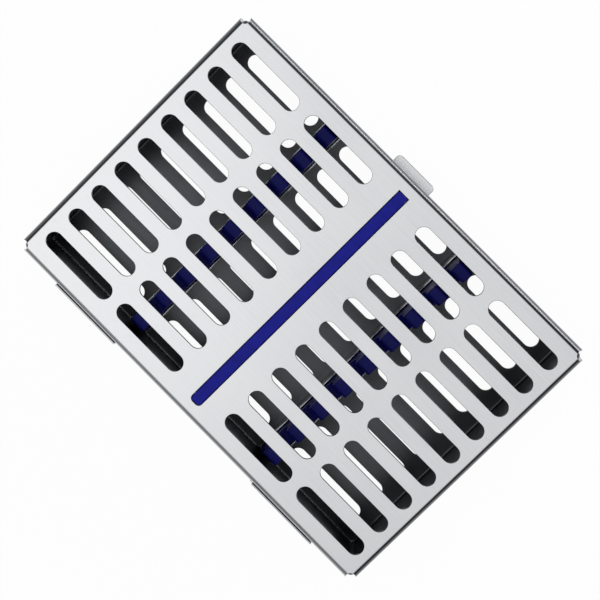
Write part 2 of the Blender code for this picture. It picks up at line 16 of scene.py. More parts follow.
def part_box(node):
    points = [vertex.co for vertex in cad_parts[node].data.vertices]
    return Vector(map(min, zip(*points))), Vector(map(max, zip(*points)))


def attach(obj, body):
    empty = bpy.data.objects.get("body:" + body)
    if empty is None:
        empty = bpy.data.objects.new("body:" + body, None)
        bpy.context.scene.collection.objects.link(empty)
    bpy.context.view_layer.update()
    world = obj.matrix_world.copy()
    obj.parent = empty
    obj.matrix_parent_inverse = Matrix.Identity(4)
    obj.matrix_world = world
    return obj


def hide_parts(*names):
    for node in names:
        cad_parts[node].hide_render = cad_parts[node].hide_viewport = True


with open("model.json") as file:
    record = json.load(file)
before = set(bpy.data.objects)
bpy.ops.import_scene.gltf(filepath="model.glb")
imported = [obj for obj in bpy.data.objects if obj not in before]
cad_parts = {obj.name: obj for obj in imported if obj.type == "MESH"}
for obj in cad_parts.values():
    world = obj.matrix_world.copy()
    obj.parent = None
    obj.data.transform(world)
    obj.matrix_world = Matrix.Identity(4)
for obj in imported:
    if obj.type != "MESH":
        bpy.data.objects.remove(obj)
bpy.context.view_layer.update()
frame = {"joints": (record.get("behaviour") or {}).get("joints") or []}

bl_info = {
    "name": "Dental Instrument Cassette",
    "version": (1, 0, 0),
    "blender": (4, 5, 0),
    "location": "View3D > Sidebar > Cassette",
    "description": "Builds the looks of a slotted steel instrument cassette with silicone combs",
    "category": "Object",
}

MM = 0.001

# Gauges and gaps, as the solids have them
SHEET = 1.0 * MM
STRIP = 0.8 * MM
SEAT_GAP = 0.3 * MM
OVERRUN = 2.0 * MM
TINY = 0.001 * MM

# Bends, corners and reliefs
BEND_RADIUS = 2.0 * MM
LID_BEND = 3.0 * MM
STRIP_BEND = 1.1 * MM
WALL_CORNER_RADIUS = 3.0 * MM
RELIEF_RADIUS = 2.2 * MM

# Slots of the lid and the floor
SLOT_ROWS = 9
SLOT_WIDTH = 7.5 * MM
ROW_MARGIN = 13.2 * MM
LID_END_MARGIN = 6.6 * MM
COLUMN_GAP = 5.8 * MM
CENTRE_BAND = 28.4 * MM
FLOOR_END_MARGIN = 8.3 * MM
FLOOR_RIB = 8.0 * MM
RAIL_BAND = 16.5 * MM

# Comb rails
NOTCH_DEPTH = 11.0 * MM
TOOTH_WIDTH = 6.2 * MM
TOOTH_ROUND = 1.4 * MM

# Hold-down bar and its hat channel
BAR_HALF_WIDTH = 2.5 * MM
BAR_SHOULDER = 3.0 * MM
BAR_SHOULDER_DEPTH = 2.5 * MM
BAR_END_ROUND = 1.6 * MM
BAR_EMBED = 0.5 * MM
SWING_CLEARANCE = 0.8 * MM
BAR_HALF_LENGTH = 62.7 * MM
CHANNEL_FOOT = 4.4 * MM

# Hinge
KNUCKLES = 5
PIN_RADIUS = 0.75 * MM
PIN_CLEARANCE = 0.25 * MM
PIN_HEAD = 0.5 * MM
JOGGLE_DROP = 3.4 * MM
JOGGLE_RISE = 2.2 * MM
ROLL_DEGREES = 268.0

# Latch
LATCH_LEVEL = 12.0 * MM
LATCH_HEIGHT = 6.0 * MM
TOE = 4.0 * MM
TOE_CORNER = 0.9 * MM
TOE_HEIGHT = 2.6 * MM
FINGER_TOE = 5.2 * MM
CATCH_LEG = 5.0 * MM
RELEASE_GAP = 0.6 * MM
LIP_WIDTH = 22.0 * MM
LIP_OFFSET = 2.0 * MM
LIP_ROUND = 2.0 * MM
LIP_BEND = 1.0 * MM
LIP_EDGE = 0.35 * MM
WINDOW_ROUND = 0.6 * MM
RIVET_SHANK = 1.2 * MM
RIVET_SHOULDER = 1.6 * MM
RIVET_TAIL = 2.4 * MM
TAIL_HEIGHT = 0.5 * MM

# Points of a path nearer to its end than this many half gauges make way for the round edge
TRIM_SHARE = 1.2

# Faces along the round stretches
CORNER_STEPS = 12
BEND_STEPS = 8
SLOT_STEPS = 14
NOTCH_STEPS = 20
ROUND_STEPS = 5
EDGE_STEPS = 3
ROLL_STEPS = 36
ROUND_SIDES = 48
FLOOR_SIDES = 96
SMOOTH_DEGREES = 35.0
# Degrees at which the domes of pins and rivets have an edge loop
PIN_DOME = (30, 45, 60, 75)
RIVET_DOME = (78, 66, 54, 42, 30, 18, 8, 0)

# Painted shade on the lid's bends and the latch lip (a dark crease line and a grey band of painted shade and
# reflection), and their lower roughness: millimetres below the top where each sets in and is full
CREASE_SHADE_DEPTHS = (0.02, 0.06)
BEND_SHADE_DEPTHS = (0.24, 0.34)
SHEEN_DEPTHS = (0.06, 0.48)
SHEEN = 0.14
# Share of the bend's depth where the bend's painted shade passes into the wall tone, which is painted shade as well
BEND_END = (0.75, 1.1)
# Along the rear bend at the hinges the painted shade is kept only in part: its place in millimetres along Y, and the
# share of painted shade that is left
REAR_BEND = (66.0, 69.0)
REAR_SHADE_SHARE = 0.3

# Levels and halves read from the frame
LID_LOW, LID_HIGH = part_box("lid_cover")
TRAY_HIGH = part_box("base_tray")[1]
LID_UNDERSIDE = LID_HIGH.z - SHEET
INNER_HALF_Y = TRAY_HIGH.y - SHEET
SLOT_PITCH = 2 * (LID_HIGH.y - ROW_MARGIN) / (SLOT_ROWS - 1)
COMB_LOW, COMB_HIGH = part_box("silicone_rail_right")
RAIL_PLACE = (COMB_LOW.x + COMB_HIGH.x) / 2
HINGE_JOINT = next(joint for joint in frame["joints"] if joint["name"] == "lid_hinge")
HINGE_Y, HINGE_Z = HINGE_JOINT["pos_m"][1:]
LATCH_LOW, LATCH_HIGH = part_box("latch_slide")
LATCH_INNER_Y = LATCH_HIGH.y
LATCH_OUTER_Y = LATCH_INNER_Y - SHEET
LATCH_MIDDLE_Y = LATCH_INNER_Y - SHEET / 2
LATCH_TOP = LATCH_LEVEL + LATCH_HEIGHT
LATCH_TRAVEL = TOE + RELEASE_GAP - SEAT_GAP
RIVET_Z = LATCH_LEVEL + LATCH_HEIGHT / 2
LIP_LEVEL = LATCH_LEVEL - LIP_BEND
SIDES = ("left", "right")

# Camera of the photograph
CAMERA_PLACE = (24.5 * MM, -73.7 * MM, 413.2 * MM)
CAMERA_TURN = (-1.67, 3.39, -134.97)
CAMERA_SHIFT = (-0.045, -0.23)
FOCAL_SHARE = 1.518
SENSOR = 36.0
CLIP_START = 10 * MM

# Studio, in metres: each lamp's place, its width and depth, and the setting that holds its power
FLOOR_RADIUS = 3.0
LAMPS = (
    ("overhead_panel", (0.06, 0.06, 0.85), (1.5, 1.5), "overhead_power"),
    ("side_panel", (0.38, 0.38, 0.9), (0.9, 0.9), "side_power"),
    ("front_strip", (0.0, -0.65, 0.22), (1.0, 0.1), "strip_power"),
)
# Heights on the world's unit sphere between which the horizon's colour passes into the zenith's
SKY_BLEND = (0.3, 0.8)


def linear(code):
    """Turn an sRGB hex colour into linear values with full opacity."""
    values = [int(code[place:place + 2], 16) / 255 for place in (1, 3, 5)]
    curve = [v / 12.92 if v <= 0.04045 else ((v + 0.055) / 1.055) ** 2.4 for v in values]
    return (*curve, 1.0)


def add_node(tree, kind, settings=None, inputs=None):
    """Add a node with its settings, and its inputs as values or as links from other sockets."""
    node = tree.nodes.new(kind)
    for name, value in (settings or {}).items():
        setattr(node, name, value)
    for name, value in (inputs or {}).items():
        if isinstance(value, bpy.types.NodeSocket):
            tree.links.new(value, node.inputs[name])
        else:
            node.inputs[name].default_value = value
    return node


def new_material(name):
    """A fresh material with its tree, its shader and its coordinates in millimetres."""
    made = bpy.data.materials.new(name)
    made.use_nodes = True
    tree = made.node_tree
    shader = tree.nodes["Principled BSDF"]
    place = add_node(tree, "ShaderNodeTexCoord").outputs["Object"]
    millimetres = add_node(tree, "ShaderNodeVectorMath", {"operation": "SCALE"}, {0: place, "Scale": 1 / MM})
    return made, tree, shader, millimetres.outputs[0]


def maths(tree, operation, *terms):
    """A chain of sums of sockets or numbers, or one operation on a single socket."""
    total, *more = terms
    for term in more or [0.0]:
        total = add_node(tree, "ShaderNodeMath", {"operation": operation}, {0: total, 1: term}).outputs[0]
    return total


def separate(tree, place):
    """The X, Y and Z sockets of a vector."""
    return add_node(tree, "ShaderNodeSeparateXYZ", {}, {0: place}).outputs


def noise(tree, place, size, detail=2.0, roughness=0.5):
    """Soft noise whose patches are about (x, y, z) millimetres in size."""
    scale = [1 / value for value in size]
    stretched = add_node(tree, "ShaderNodeVectorMath", {"operation": "MULTIPLY"}, {0: place, 1: scale})
    inputs = {"Vector": stretched.outputs[0], "Scale": 1.0, "Detail": detail, "Roughness": roughness}
    return add_node(tree, "ShaderNodeTexNoise", {}, inputs).outputs["Fac"]


def spread(tree, value, low, high, new_low=0.0, new_high=1.0):
    """Map one range of values to another and hold it there."""
    inputs = {"Value": value, "From Min": low, "From Max": high, "To Min": new_low, "To Max": new_high}
    return add_node(tree, "ShaderNodeMapRange", {"clamp": True}, inputs).outputs[0]


def blend_colours(tree, share, first, second):
    """Mix two colours, each a socket or linear values."""
    inputs = {0: share, 6: first, 7: second}
    return add_node(tree, "ShaderNodeMix", {"data_type": "RGBA"}, inputs).outputs[2]


def wire(tree, shader, colour, roughness, height, strength, depth):
    """Give a shader its colour, its roughness and a surface raised by a height pattern, depth in metres."""
    raised = add_node(tree, "ShaderNodeBump", {}, {"Strength": strength, "Distance": depth, "Height": height})
    for name, socket in (("Base Color", colour), ("Roughness", roughness), ("Normal", raised.outputs[0])):
        tree.links.new(socket, shader.inputs[name])


def satin_steel(name, tones, roughness, inside, halves, level, folds=None):
    """Cold-rolled stainless sheet, satin brushed: fine streaks along X that fold down with the walls.

    Colours come in pairs, dark and light. Between halves (x, y) the colour passes from the first level to the
    second into the inside tones, which are painted shade on the inner side of the sheet. Where folds is given as
    (top, depth, crease_shade, bend, wall), the bend gets a painted dark crease line and a grey band of painted
    shade and reflection, which passes into the wall tones, darker as painted shade too.
    """
    made, tree, shader, place = new_material(name)
    parts = separate(tree, place)
    facing = separate(tree, add_node(tree, "ShaderNodeTexCoord").outputs["Normal"])
    end_wall = maths(tree, "GREATER_THAN", maths(tree, "ABSOLUTE", facing["X"]), 0.7)
    # Streaks of a 240 grit belt, drawn about three times as wide as they are so that they show
    streak, grain = 26.0, 0.34
    along = spread(tree, end_wall, 0.0, 1.0, 1 / grain, 1 / streak)
    folded = add_node(tree, "ShaderNodeCombineXYZ", {}, {
        axis: maths(tree, "MULTIPLY", parts[axis], scale)
        for axis, scale in (("X", 1 / streak), ("Y", 1 / grain), ("Z", along))})
    fine = noise(tree, folded.outputs[0], (1.0, 1.0, 1.0), 3.0, 0.65)
    # Faint clouds of the rolled sheet and small handling marks
    cloud = noise(tree, place, (40.0, 26.0, 26.0), 3.0)
    handling = noise(tree, place, (6.0, 4.0, 4.0), 4.0, 0.7)

    tone = maths(tree, "ADD", maths(tree, "MULTIPLY", fine, 0.6), maths(tree, "MULTIPLY", cloud, 0.4))
    share = spread(tree, tone, 0.30, 0.70)
    colour = blend_colours(tree, share, *tones)
    if folds is not None:
        top, depth, crease_shade, bend, wall = folds
        below = maths(tree, "SUBTRACT", top / MM, parts["Z"])
        # Down the bend its grey band of painted shade and reflection passes into the wall tone, also painted shade
        passed = spread(tree, below, *(end * depth / MM for end in BEND_END))
        rolled = blend_colours(tree, passed, blend_colours(tree, share, *bend), blend_colours(tree, share, *wall))
        # Near the hinges only part of the painted crease line and bend shade is kept
        left = spread(tree, parts["Y"], *REAR_BEND, 1.0, REAR_SHADE_SHARE)
        # Lay the painted dark crease line, then the bend's grey band of painted shade and reflection, over the grain
        for paint, depths in ((crease_shade, CREASE_SHADE_DEPTHS), (rolled, BEND_SHADE_DEPTHS)):
            cover = maths(tree, "MULTIPLY", left, spread(tree, below, *depths))
            colour = blend_colours(tree, cover, colour, paint)
        roughness = maths(tree, "SUBTRACT", roughness, spread(tree, below, *SHEEN_DEPTHS, 0.0, SHEEN))
    # Within the halves and past the level the colour passes into the inside tones: painted shade on the inner side of
    # the sheet
    beyond = [maths(tree, "SUBTRACT", maths(tree, "ABSOLUTE", parts[axis]), half / MM)
              for axis, half in zip("XY", halves)]
    within = spread(tree, maths(tree, "MAXIMUM", *beyond), -0.08, 0.08, 1.0, 0.0)
    height = spread(tree, parts["Z"], level[0] / MM, level[1] / MM)
    inside_shade = blend_colours(tree, spread(tree, cloud, 0.35, 0.65), *inside)
    colour = blend_colours(tree, maths(tree, "MULTIPLY", within, height), colour, inside_shade)
    uneven = maths(
        tree, "ADD", spread(tree, fine, 0.3, 0.7, -0.05, 0.05), spread(tree, cloud, 0.3, 0.7, -0.03, 0.03),
        spread(tree, handling, 0.55, 0.75, 0.0, 0.05), roughness)
    wire(tree, shader, colour, uneven, fine, 0.12, 0.02 * MM)
    shader.inputs["Metallic"].default_value = 1.0
    return made


def bright_steel(name, tones, roughness):
    """Bright annealed stainless strip: nearly mirror-like, with faint roll lines and a haze of handling."""
    made, tree, shader, place = new_material(name)
    lines = noise(tree, place, (9.0, 0.25, 0.6), 3.0, 0.6)
    haze = noise(tree, place, (7.0, 7.0, 5.0), 3.0, 0.6)
    colour = blend_colours(tree, spread(tree, haze, 0.3, 0.7), *tones)
    uneven = maths(
        tree, "ADD", spread(tree, lines, 0.3, 0.7, -0.03, 0.05), spread(tree, haze, 0.4, 0.7, 0.0, 0.06), roughness)
    wire(tree, shader, colour, uneven, lines, 0.1, 0.01 * MM)
    shader.inputs["Metallic"].default_value = 1.0
    return made


def moulded_silicone(name, tones, roughness):
    """Compression-moulded silicone rubber: matt, with the fine eroded grain of its mould and a dusty bloom."""
    made, tree, shader, place = new_material(name)
    grain = noise(tree, place, (0.35, 0.35, 0.35), 3.0, 0.6)
    bloom = noise(tree, place, (5.0, 5.0, 5.0), 3.0, 0.6)
    tone = maths(tree, "ADD", maths(tree, "MULTIPLY", grain, 0.4), maths(tree, "MULTIPLY", bloom, 0.6))
    colour = blend_colours(tree, spread(tree, tone, 0.35, 0.65), *tones)
    uneven = maths(tree, "ADD", spread(tree, bloom, 0.3, 0.7, -0.08, 0.08), roughness)
    wire(tree, shader, colour, uneven, grain, 0.2, 0.03 * MM)
    shader.inputs["IOR"].default_value = 1.41
    shader.inputs["Specular IOR Level"].default_value = 0.2
    return made


def white_sweep(name, colour, glow):
    """Matt white studio sweep: camera, metal and glass see it white, and it keeps the soft shadow."""
    made, tree, shader, place = new_material(name)
    fibre = noise(tree, place, (3.0, 3.0, 3.0), 3.0, 0.6)
    white = linear("#FFFFFF")
    tree.links.new(blend_colours(tree, fibre, colour, white), shader.inputs["Base Color"])
    shader.inputs["Roughness"].default_value = 0.9
    path = add_node(tree, "ShaderNodeLightPath").outputs
    rays = [path[f"Is {kind} Ray"] for kind in ("Camera", "Glossy", "Transmission")]
    seen = maths(tree, "MINIMUM", maths(tree, "ADD", *rays), 1.0)
    lit = add_node(tree, "ShaderNodeEmission", {}, {"Color": white, "Strength": 1.0})
    share = maths(tree, "MULTIPLY", seen, glow)
    mixed = add_node(tree, "ShaderNodeMixShader", {}, {0: share, 1: shader.outputs[0], 2: lit.outputs[0]})
    tree.links.new(mixed.outputs[0], tree.nodes["Material Output"].inputs["Surface"])
    return made


def make_object(name, work):
    """Turn a bmesh into an object at the origin, with its faces pointing out."""
    bmesh.ops.recalc_face_normals(work, faces=work.faces)
    mesh = bpy.data.meshes.new(name)
    work.to_mesh(mesh)
    work.free()
    made = bpy.data.objects.new(name, mesh)
    bpy.context.scene.collection.objects.link(made)
    return made


def loft(name, loops, ring=False):
    """A closed body from matching loops, capped at both ends or running round on itself."""
    work = bmesh.new()
    rows = [[work.verts.new(point) for point in loop] for loop in loops]
    pairs = list(zip(rows, rows[1:]))
    if ring:
        pairs.append((rows[-1], rows[0]))
    else:
        work.faces.new(reversed(rows[0]))
        work.faces.new(rows[-1])
    for lower, upper in pairs:
        for index in range(len(lower)):
            work.faces.new((lower[index - 1], lower[index], upper[index], upper[index - 1]))
    return make_object(name, work)


def frozen(made):
    """Replace an object's modifiers by their result."""
    bpy.context.view_layer.update()
    evaluated = made.evaluated_get(bpy.context.evaluated_depsgraph_get())
    mesh = bpy.data.meshes.new_from_object(evaluated)
    made.modifiers.clear()
    made.data = mesh
    return made


def discard(*helpers):
    """Remove helper objects."""
    for helper in helpers:
        bpy.data.objects.remove(helper, do_unlink=True)


def combine(target, operation, *helpers):
    """Cut away or join helper bodies with the exact solver, and throw them away."""
    for helper in helpers:
        step = target.modifiers.new(operation.lower(), "BOOLEAN")
        step.operation = operation
        step.solver = "EXACT"
        step.object = helper
        frozen(target)
        if not target.data.polygons:
            raise RuntimeError(f"Nothing is left of {target.name} after its {operation.lower()}")
    discard(*helpers)
    return target


def smoothed(made):
    """Shade round stretches smooth while flat faces stay flat."""
    made.data.shade_smooth()
    made.data.set_sharp_from_angle(angle=math.radians(SMOOTH_DEGREES))
    step = made.modifiers.new("flat_faces", "WEIGHTED_NORMAL")
    step.keep_sharp = True
    return frozen(made)


def finish_piece(made, body, slot, material, *nodes):
    """Give a piece its material and its body, and hide the solids it stands for. The slot is not used."""
    smoothed(made)
    made.data.materials.clear()
    made.data.materials.append(material)
    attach(made, body)
    if nodes:
        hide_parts(*nodes)


def on_axis(axis, outline, place):
    """Set a flat outline square to an axis: (y, z) on X, (x, z) on Y and (x, y) on Z."""
    spot = "XYZ".index(axis)
    return [(*point[:spot], place, *point[spot:]) for point in outline]


def arc(centre, radius, start, end, steps):
    """Points on an arc between two angles in degrees, ends included."""
    points = []
    for step in range(steps + 1):
        angle = math.radians(start + (end - start) * step / steps)
        points.append((centre[0] + radius * math.cos(angle), centre[1] + radius * math.sin(angle)))
    return points


def circle(centre, radius, sides=ROUND_SIDES):
    """Points round a full circle."""
    return arc(centre, radius, 0, 360, sides)[:-1]


def rectangle(left, right, low, high):
    """The four corners of an upright rectangle."""
    return [(left, low), (right, low), (right, high), (left, high)]


def rounded_rectangle(half_x, half_y, radius, steps, centre=(0, 0)):
    """A rectangle with four round corners."""
    points = []
    for sign_x, sign_y, start in ((1, 1, 0), (-1, 1, 90), (-1, -1, 180), (1, -1, 270)):
        corner = (centre[0] + sign_x * (half_x - radius), centre[1] + sign_y * (half_y - radius))
        points += arc(corner, radius, start, start + 90, steps)
    return points


def stadium(centre, length, width):
    """A slot along the first axis with half-round ends."""
    radius = width / 2
    reach = length / 2 - radius
    right = arc((centre[0] + reach, centre[1]), radius, -90, 90, SLOT_STEPS)
    left = arc((centre[0] - reach, centre[1]), radius, 90, 270, SLOT_STEPS)
    return right + left


def inset(outline, distance):
    """Draw a closed outline in by a distance, or out by a negative one."""
    points = [Vector(point) for point in outline]
    following = points[1:] + points[:1]
    area = sum(one.x * two.y - two.x * one.y for one, two in zip(points, following))
    moved = []
    for index, point in enumerate(points):
        before = (point - points[index - 1]).normalized()
        after = (following[index] - point).normalized()
        first = Vector((-before.y, before.x)) * math.copysign(1, area)
        second = Vector((-after.y, after.x)) * math.copysign(1, area)
        side = (first + second).normalized()
        moved.append(tuple(point + side * distance / side.dot(first)))
    return moved


def soften(outline, radius):
    """Round the sharp corners of a closed outline."""
    points = [Vector(point) for point in outline]
    following = points[1:] + points[:1]
    rounded = []
    for index, point in enumerate(points):
        back = points[index - 1] - point
        ahead = following[index] - point
        turn = math.pi - back.angle(ahead)
        if turn < math.radians(SMOOTH_DEGREES):
            rounded.append(tuple(point))
            continue
        setback = min(radius * math.tan(turn / 2), 0.45 * back.length, 0.45 * ahead.length)
        start = point + back.normalized() * setback
        end = point + ahead.normalized() * setback
        for step in range(ROUND_STEPS + 1):
            share = step / ROUND_STEPS
            rounded.append(tuple(start.lerp(point, share).lerp(point.lerp(end, share), share)))
    return rounded


def edge_levels(low, high, radius):
    """Inset and place of each loop of a prism whose ends have rounded edges."""
    rise = []
    for across, up in arc((radius, radius), radius, 270, 180, EDGE_STEPS):
        rise.append((across, low + up))
    return rise + [(across, low + high - place) for across, place in reversed(rise)]


def flare_levels(low, high, radius):
    """Inset and place of each loop of a cutter that leaves rounded edges on both faces of a sheet."""
    rise = []
    for step in range(1, EDGE_STEPS + 1):
        angle = math.radians(90 * step / EDGE_STEPS)
        rise.append((radius * (math.sin(angle) - 1), low + radius * (1 - math.cos(angle))))
    beyond = (-2 * radius - rise[0][0], 2 * low - rise[0][1])
    rise = [(beyond[0], low - OVERRUN), beyond] + rise
    return rise + [(across, low + high - place) for across, place in reversed(rise)]


def stacked(name, axis, outline, levels):
    """A body whose outline is drawn in by an inset at each place along an axis."""
    return loft(name, [on_axis(axis, inset(outline, across), place) for across, place in levels])


def prism(name, axis, outline, low, high, radius):
    """A straight extrusion with rounded edges at its two ends."""
    return stacked(name, axis, outline, edge_levels(low, high, radius))


def cutter(axis, outline, low, high, radius):
    """A body to cut a hole through a sheet, which leaves its edges rounded."""
    return stacked("cutter", axis, outline, flare_levels(low, high, radius))


def block(low, high):
    """A plain box to cut with."""
    outline = rectangle(low[0], high[0], low[1], high[1])
    return loft("cutter", [on_axis("Z", outline, low[2]), on_axis("Z", outline, high[2])])


def turned(name, axis, centre, profile):
    """A turned piece, from (place, radius) steps along an axis."""
    return loft(name, [on_axis(axis, circle(centre, radius), place) for place, radius in profile])


def bent_path(corners, radius):
    """A sheet's middle line with each inner corner rounded to a bend."""
    points = [Vector(corners[0])]
    for before, corner, after in zip(corners, corners[1:], corners[2:]):
        corner = Vector(corner)
        back = (Vector(before) - corner).normalized()
        ahead = (Vector(after) - corner).normalized()
        half_angle = back.angle(ahead) / 2
        setback = radius / math.tan(half_angle)
        centre = corner + (back + ahead).normalized() * (radius / math.sin(half_angle))
        first = corner + back * setback - centre
        sweep = first.angle_signed(corner + ahead * setback - centre)
        for step in range(BEND_STEPS + 1):
            points.append(centre + Matrix.Rotation(-sweep * step / BEND_STEPS, 2) @ first)
    points.append(Vector(corners[-1]))
    return points


def side_offsets(path):
    """The mitred sideways direction at each point of a path."""
    sides = []
    for index, point in enumerate(path):
        runs = []
        if index > 0:
            runs.append((Vector(point) - Vector(path[index - 1])).normalized())
        if index < len(path) - 1:
            runs.append((Vector(path[index + 1]) - Vector(point)).normalized())
        normals = [Vector((-run.y, run.x)) for run in runs]
        side = (normals[0] + normals[-1]).normalized()
        sides.append(side / side.dot(normals[0]))
    return sides


def trimmed(path, length):
    """Shorten a path at its end."""
    tip = path[-1]
    kept = [point for point in path if (point - tip).length > TRIM_SHARE * length]
    return kept + [tip + (kept[-1] - tip).normalized() * length]


def strip_outline(path, gauge):
    """The cross-section of a bent strip that follows a path, with full round edges."""
    half = gauge / 2
    path = [Vector(point) for point in path]
    path = trimmed(path[::-1], half)[::-1]
    path = trimmed(path, half)
    start, end = path[1] - path[0], path[-1] - path[-2]
    sides = side_offsets(path)
    left = [tuple(point + side * half) for point, side in zip(path, sides)]
    right = [tuple(point - side * half) for point, side in zip(path, sides)]
    caps = []
    for tip, turn in ((path[-1], math.degrees(math.atan2(end.y, end.x))),
                      (path[0], math.degrees(math.atan2(start.y, start.x)) + 180)):
        caps.append(arc(tip, half, turn + 90, turn - 90, 2 * ROUND_STEPS)[1:-1])
    return left + caps[0] + right[::-1] + caps[1]


def bend_levels(radius, start):
    """Inset and level at each step up a bend between a flat sheet and its wall."""
    return [(start + across, start + up) for across, up in arc((radius, radius), radius, 270, 180, BEND_STEPS)]


def rim_levels(level, radius, up):
    """Inset and level round a sheet's free edge, from one face over to the other."""
    first = arc((radius, -radius), radius, 180, 90, EDGE_STEPS)
    last = arc((SHEET - radius, -radius), radius, 90, 0, EDGE_STEPS)
    return [(across, level + up * drop) for across, drop in first + last]


def row_centres():
    """The middles of the slot rows across the lid and the floor."""
    first = -SLOT_PITCH * (SLOT_ROWS - 1) / 2
    return [first + SLOT_PITCH * row for row in range(SLOT_ROWS)]


def new_tree(name, **sockets):
    """A geometry node tree: a mesh, named inputs and a material in, and a mesh out."""
    tree = bpy.data.node_groups.new(name, "GeometryNodeTree")
    for label, kind in {"Geometry": "Geometry", **sockets, "Material": "Material"}.items():
        label = label.replace("_", " ")
        tree.interface.new_socket(label, in_out="INPUT", socket_type="NodeSocket" + kind)
    tree.interface.new_socket("Geometry", in_out="OUTPUT", socket_type="NodeSocketGeometry")
    return tree, add_node(tree, "NodeGroupInput").outputs


def end_tree(tree, shape, material):
    """Make a tree's copies real, give them their material and hand them out."""
    real = add_node(tree, "GeometryNodeRealizeInstances", {}, {0: shape})
    painted = add_node(tree, "GeometryNodeSetMaterial", {}, {"Geometry": real.outputs[0], "Material": material})
    add_node(tree, "NodeGroupOutput", {}, {0: painted.outputs[0]})
    return tree


def slot_tree():
    """Geometry nodes that cut rows of slots through a sheet, in an inner and an outer pair of columns."""
    tree, given = new_tree(
        "Slot Rows", Inner_Slot="Object", Inner_Column="Float", Outer_Slot="Object", Outer_Column="Float",
        Rows="Int", Row_Pitch="Float")
    depth = maths(tree, "MULTIPLY", given["Row Pitch"], maths(tree, "SUBTRACT", given["Rows"], 1.0))
    joined = add_node(tree, "GeometryNodeJoinGeometry")
    for column in ("Inner", "Outer"):
        slot = add_node(tree, "GeometryNodeObjectInfo", {}, {"Object": given[column + " Slot"]})
        grid = add_node(tree, "GeometryNodeMeshGrid", {}, {
            "Size X": maths(tree, "MULTIPLY", given[column + " Column"], 2.0),
            "Size Y": depth, "Vertices X": 2, "Vertices Y": given["Rows"]})
        placed = add_node(tree, "GeometryNodeInstanceOnPoints", {}, {
            "Points": grid.outputs["Mesh"], "Instance": slot.outputs["Geometry"]})
        tree.links.new(placed.outputs[0], joined.inputs[0])
    slots = add_node(tree, "GeometryNodeRealizeInstances", {}, {0: joined.outputs[0]})
    holes = add_node(tree, "GeometryNodeMeshBoolean", {"operation": "DIFFERENCE", "solver": "EXACT"}, {
        "Mesh 1": given["Geometry"], "Mesh 2": slots.outputs[0]})
    return end_tree(tree, holes.outputs["Mesh"], given["Material"])


def mark_tree():
    """Geometry nodes that set a shallow round weld mark on each point, turned to the face it lies on."""
    tree, given = new_tree("Weld Marks", Radius="Float", Height="Float", Sides="Int")
    dome = add_node(tree, "GeometryNodeMeshCone", {"fill_type": "NGON"}, {
        "Vertices": given["Sides"], "Side Segments": 1, "Radius Bottom": given["Radius"],
        "Radius Top": maths(tree, "MULTIPLY", given["Radius"], 0.75), "Depth": given["Height"]})
    facing = add_node(tree, "GeometryNodeInputNamedAttribute", {"data_type": "FLOAT_VECTOR"}, {"Name": "facing"})
    turn = add_node(tree, "FunctionNodeAlignRotationToVector", {"axis": "Z"}, {"Vector": facing.outputs[0]})
    placed = add_node(tree, "GeometryNodeInstanceOnPoints", {}, {
        "Points": given["Geometry"], "Instance": dome.outputs["Mesh"], "Rotation": turn.outputs[0]})
    return end_tree(tree, placed.outputs[0], given["Material"])


def run_tree(made, tree, values):
    """Run a node tree on an object with its inputs set, and keep the result as a plain mesh."""
    step = made.modifiers.new(tree.name, "NODES")
    step.node_group = tree
    for item in tree.interface.items_tree:
        if item.in_out == "INPUT" and item.name in values:
            step[item.identifier] = values[item.name]
    return frozen(made)


def slotted(sheet, low, high, inner_column, outer_column, radius, material):
    """Cut the rows of slots through a sheet between two levels, from (start, end) of both columns."""
    slots = []
    for start, end in (inner_column, outer_column):
        outline = stadium((0, 0), end - start, SLOT_WIDTH)
        slots.append(cutter("Z", outline, low, high, radius))
    run_tree(sheet, slot_tree(), {
        "Inner Slot": slots[0], "Inner Column": sum(inner_column) / 2,
        "Outer Slot": slots[1], "Outer Column": sum(outer_column) / 2,
        "Rows": SLOT_ROWS, "Row Pitch": SLOT_PITCH, "Material": material})
    discard(*slots)
    return sheet


def make_tray(edge, material):
    """The tray: floor, four walls and round corners in one sheet, with slots, a window and rivet holes."""
    def plan(across, level):
        corner = WALL_CORNER_RADIUS - across
        outline = rounded_rectangle(TRAY_HIGH.x - across, TRAY_HIGH.y - across, corner, CORNER_STEPS)
        return on_axis("Z", outline, level)

    levels = bend_levels(BEND_RADIUS, 0)
    levels += rim_levels(TRAY_HIGH.z, edge, 1)
    levels += reversed(bend_levels(BEND_RADIUS - SHEET, SHEET))
    tray = loft("folded_tray", [plan(across, level) for across, level in levels])

    band = RAIL_BAND / 2
    inner_column = (FLOOR_RIB / 2, RAIL_PLACE - band)
    outer_column = (RAIL_PLACE + band, TRAY_HIGH.x - FLOOR_END_MARGIN)
    slotted(tray, 0, SHEET, inner_column, outer_column, edge, material)

    left = LIP_OFFSET - LIP_WIDTH / 2 - LATCH_TRAVEL - SEAT_GAP
    right = LIP_OFFSET + LIP_WIDTH / 2 + SEAT_GAP
    middle = ((left + right) / 2, LIP_LEVEL)
    window = rounded_rectangle((right - left) / 2, SHEET / 2 + SEAT_GAP, WINDOW_ROUND, ROUND_STEPS, middle)
    holes = [cutter("Y", window, -TRAY_HIGH.y, -INNER_HALF_Y, edge)]
    for side in SIDES:
        shank = circle((rivet_place(side), RIVET_Z), RIVET_SHANK + SEAT_GAP)
        holes.append(cutter("Y", shank, -TRAY_HIGH.y, -INNER_HALF_Y, edge))
    return combine(tray, "DIFFERENCE", *holes)


def bar_outline(gap):
    """The hold-down bar seen from above: square at the front and round-cornered towards the hinge."""
    half = BAR_HALF_WIDTH + gap
    reach = BAR_HALF_LENGTH + gap
    radius = BAR_END_ROUND + gap
    right = arc((half - radius, reach - radius), radius, 0, 90, ROUND_STEPS)
    left = arc((radius - half, reach - radius), radius, 90, 180, ROUND_STEPS)
    return [(-half, -reach), (half, -reach)] + right + left


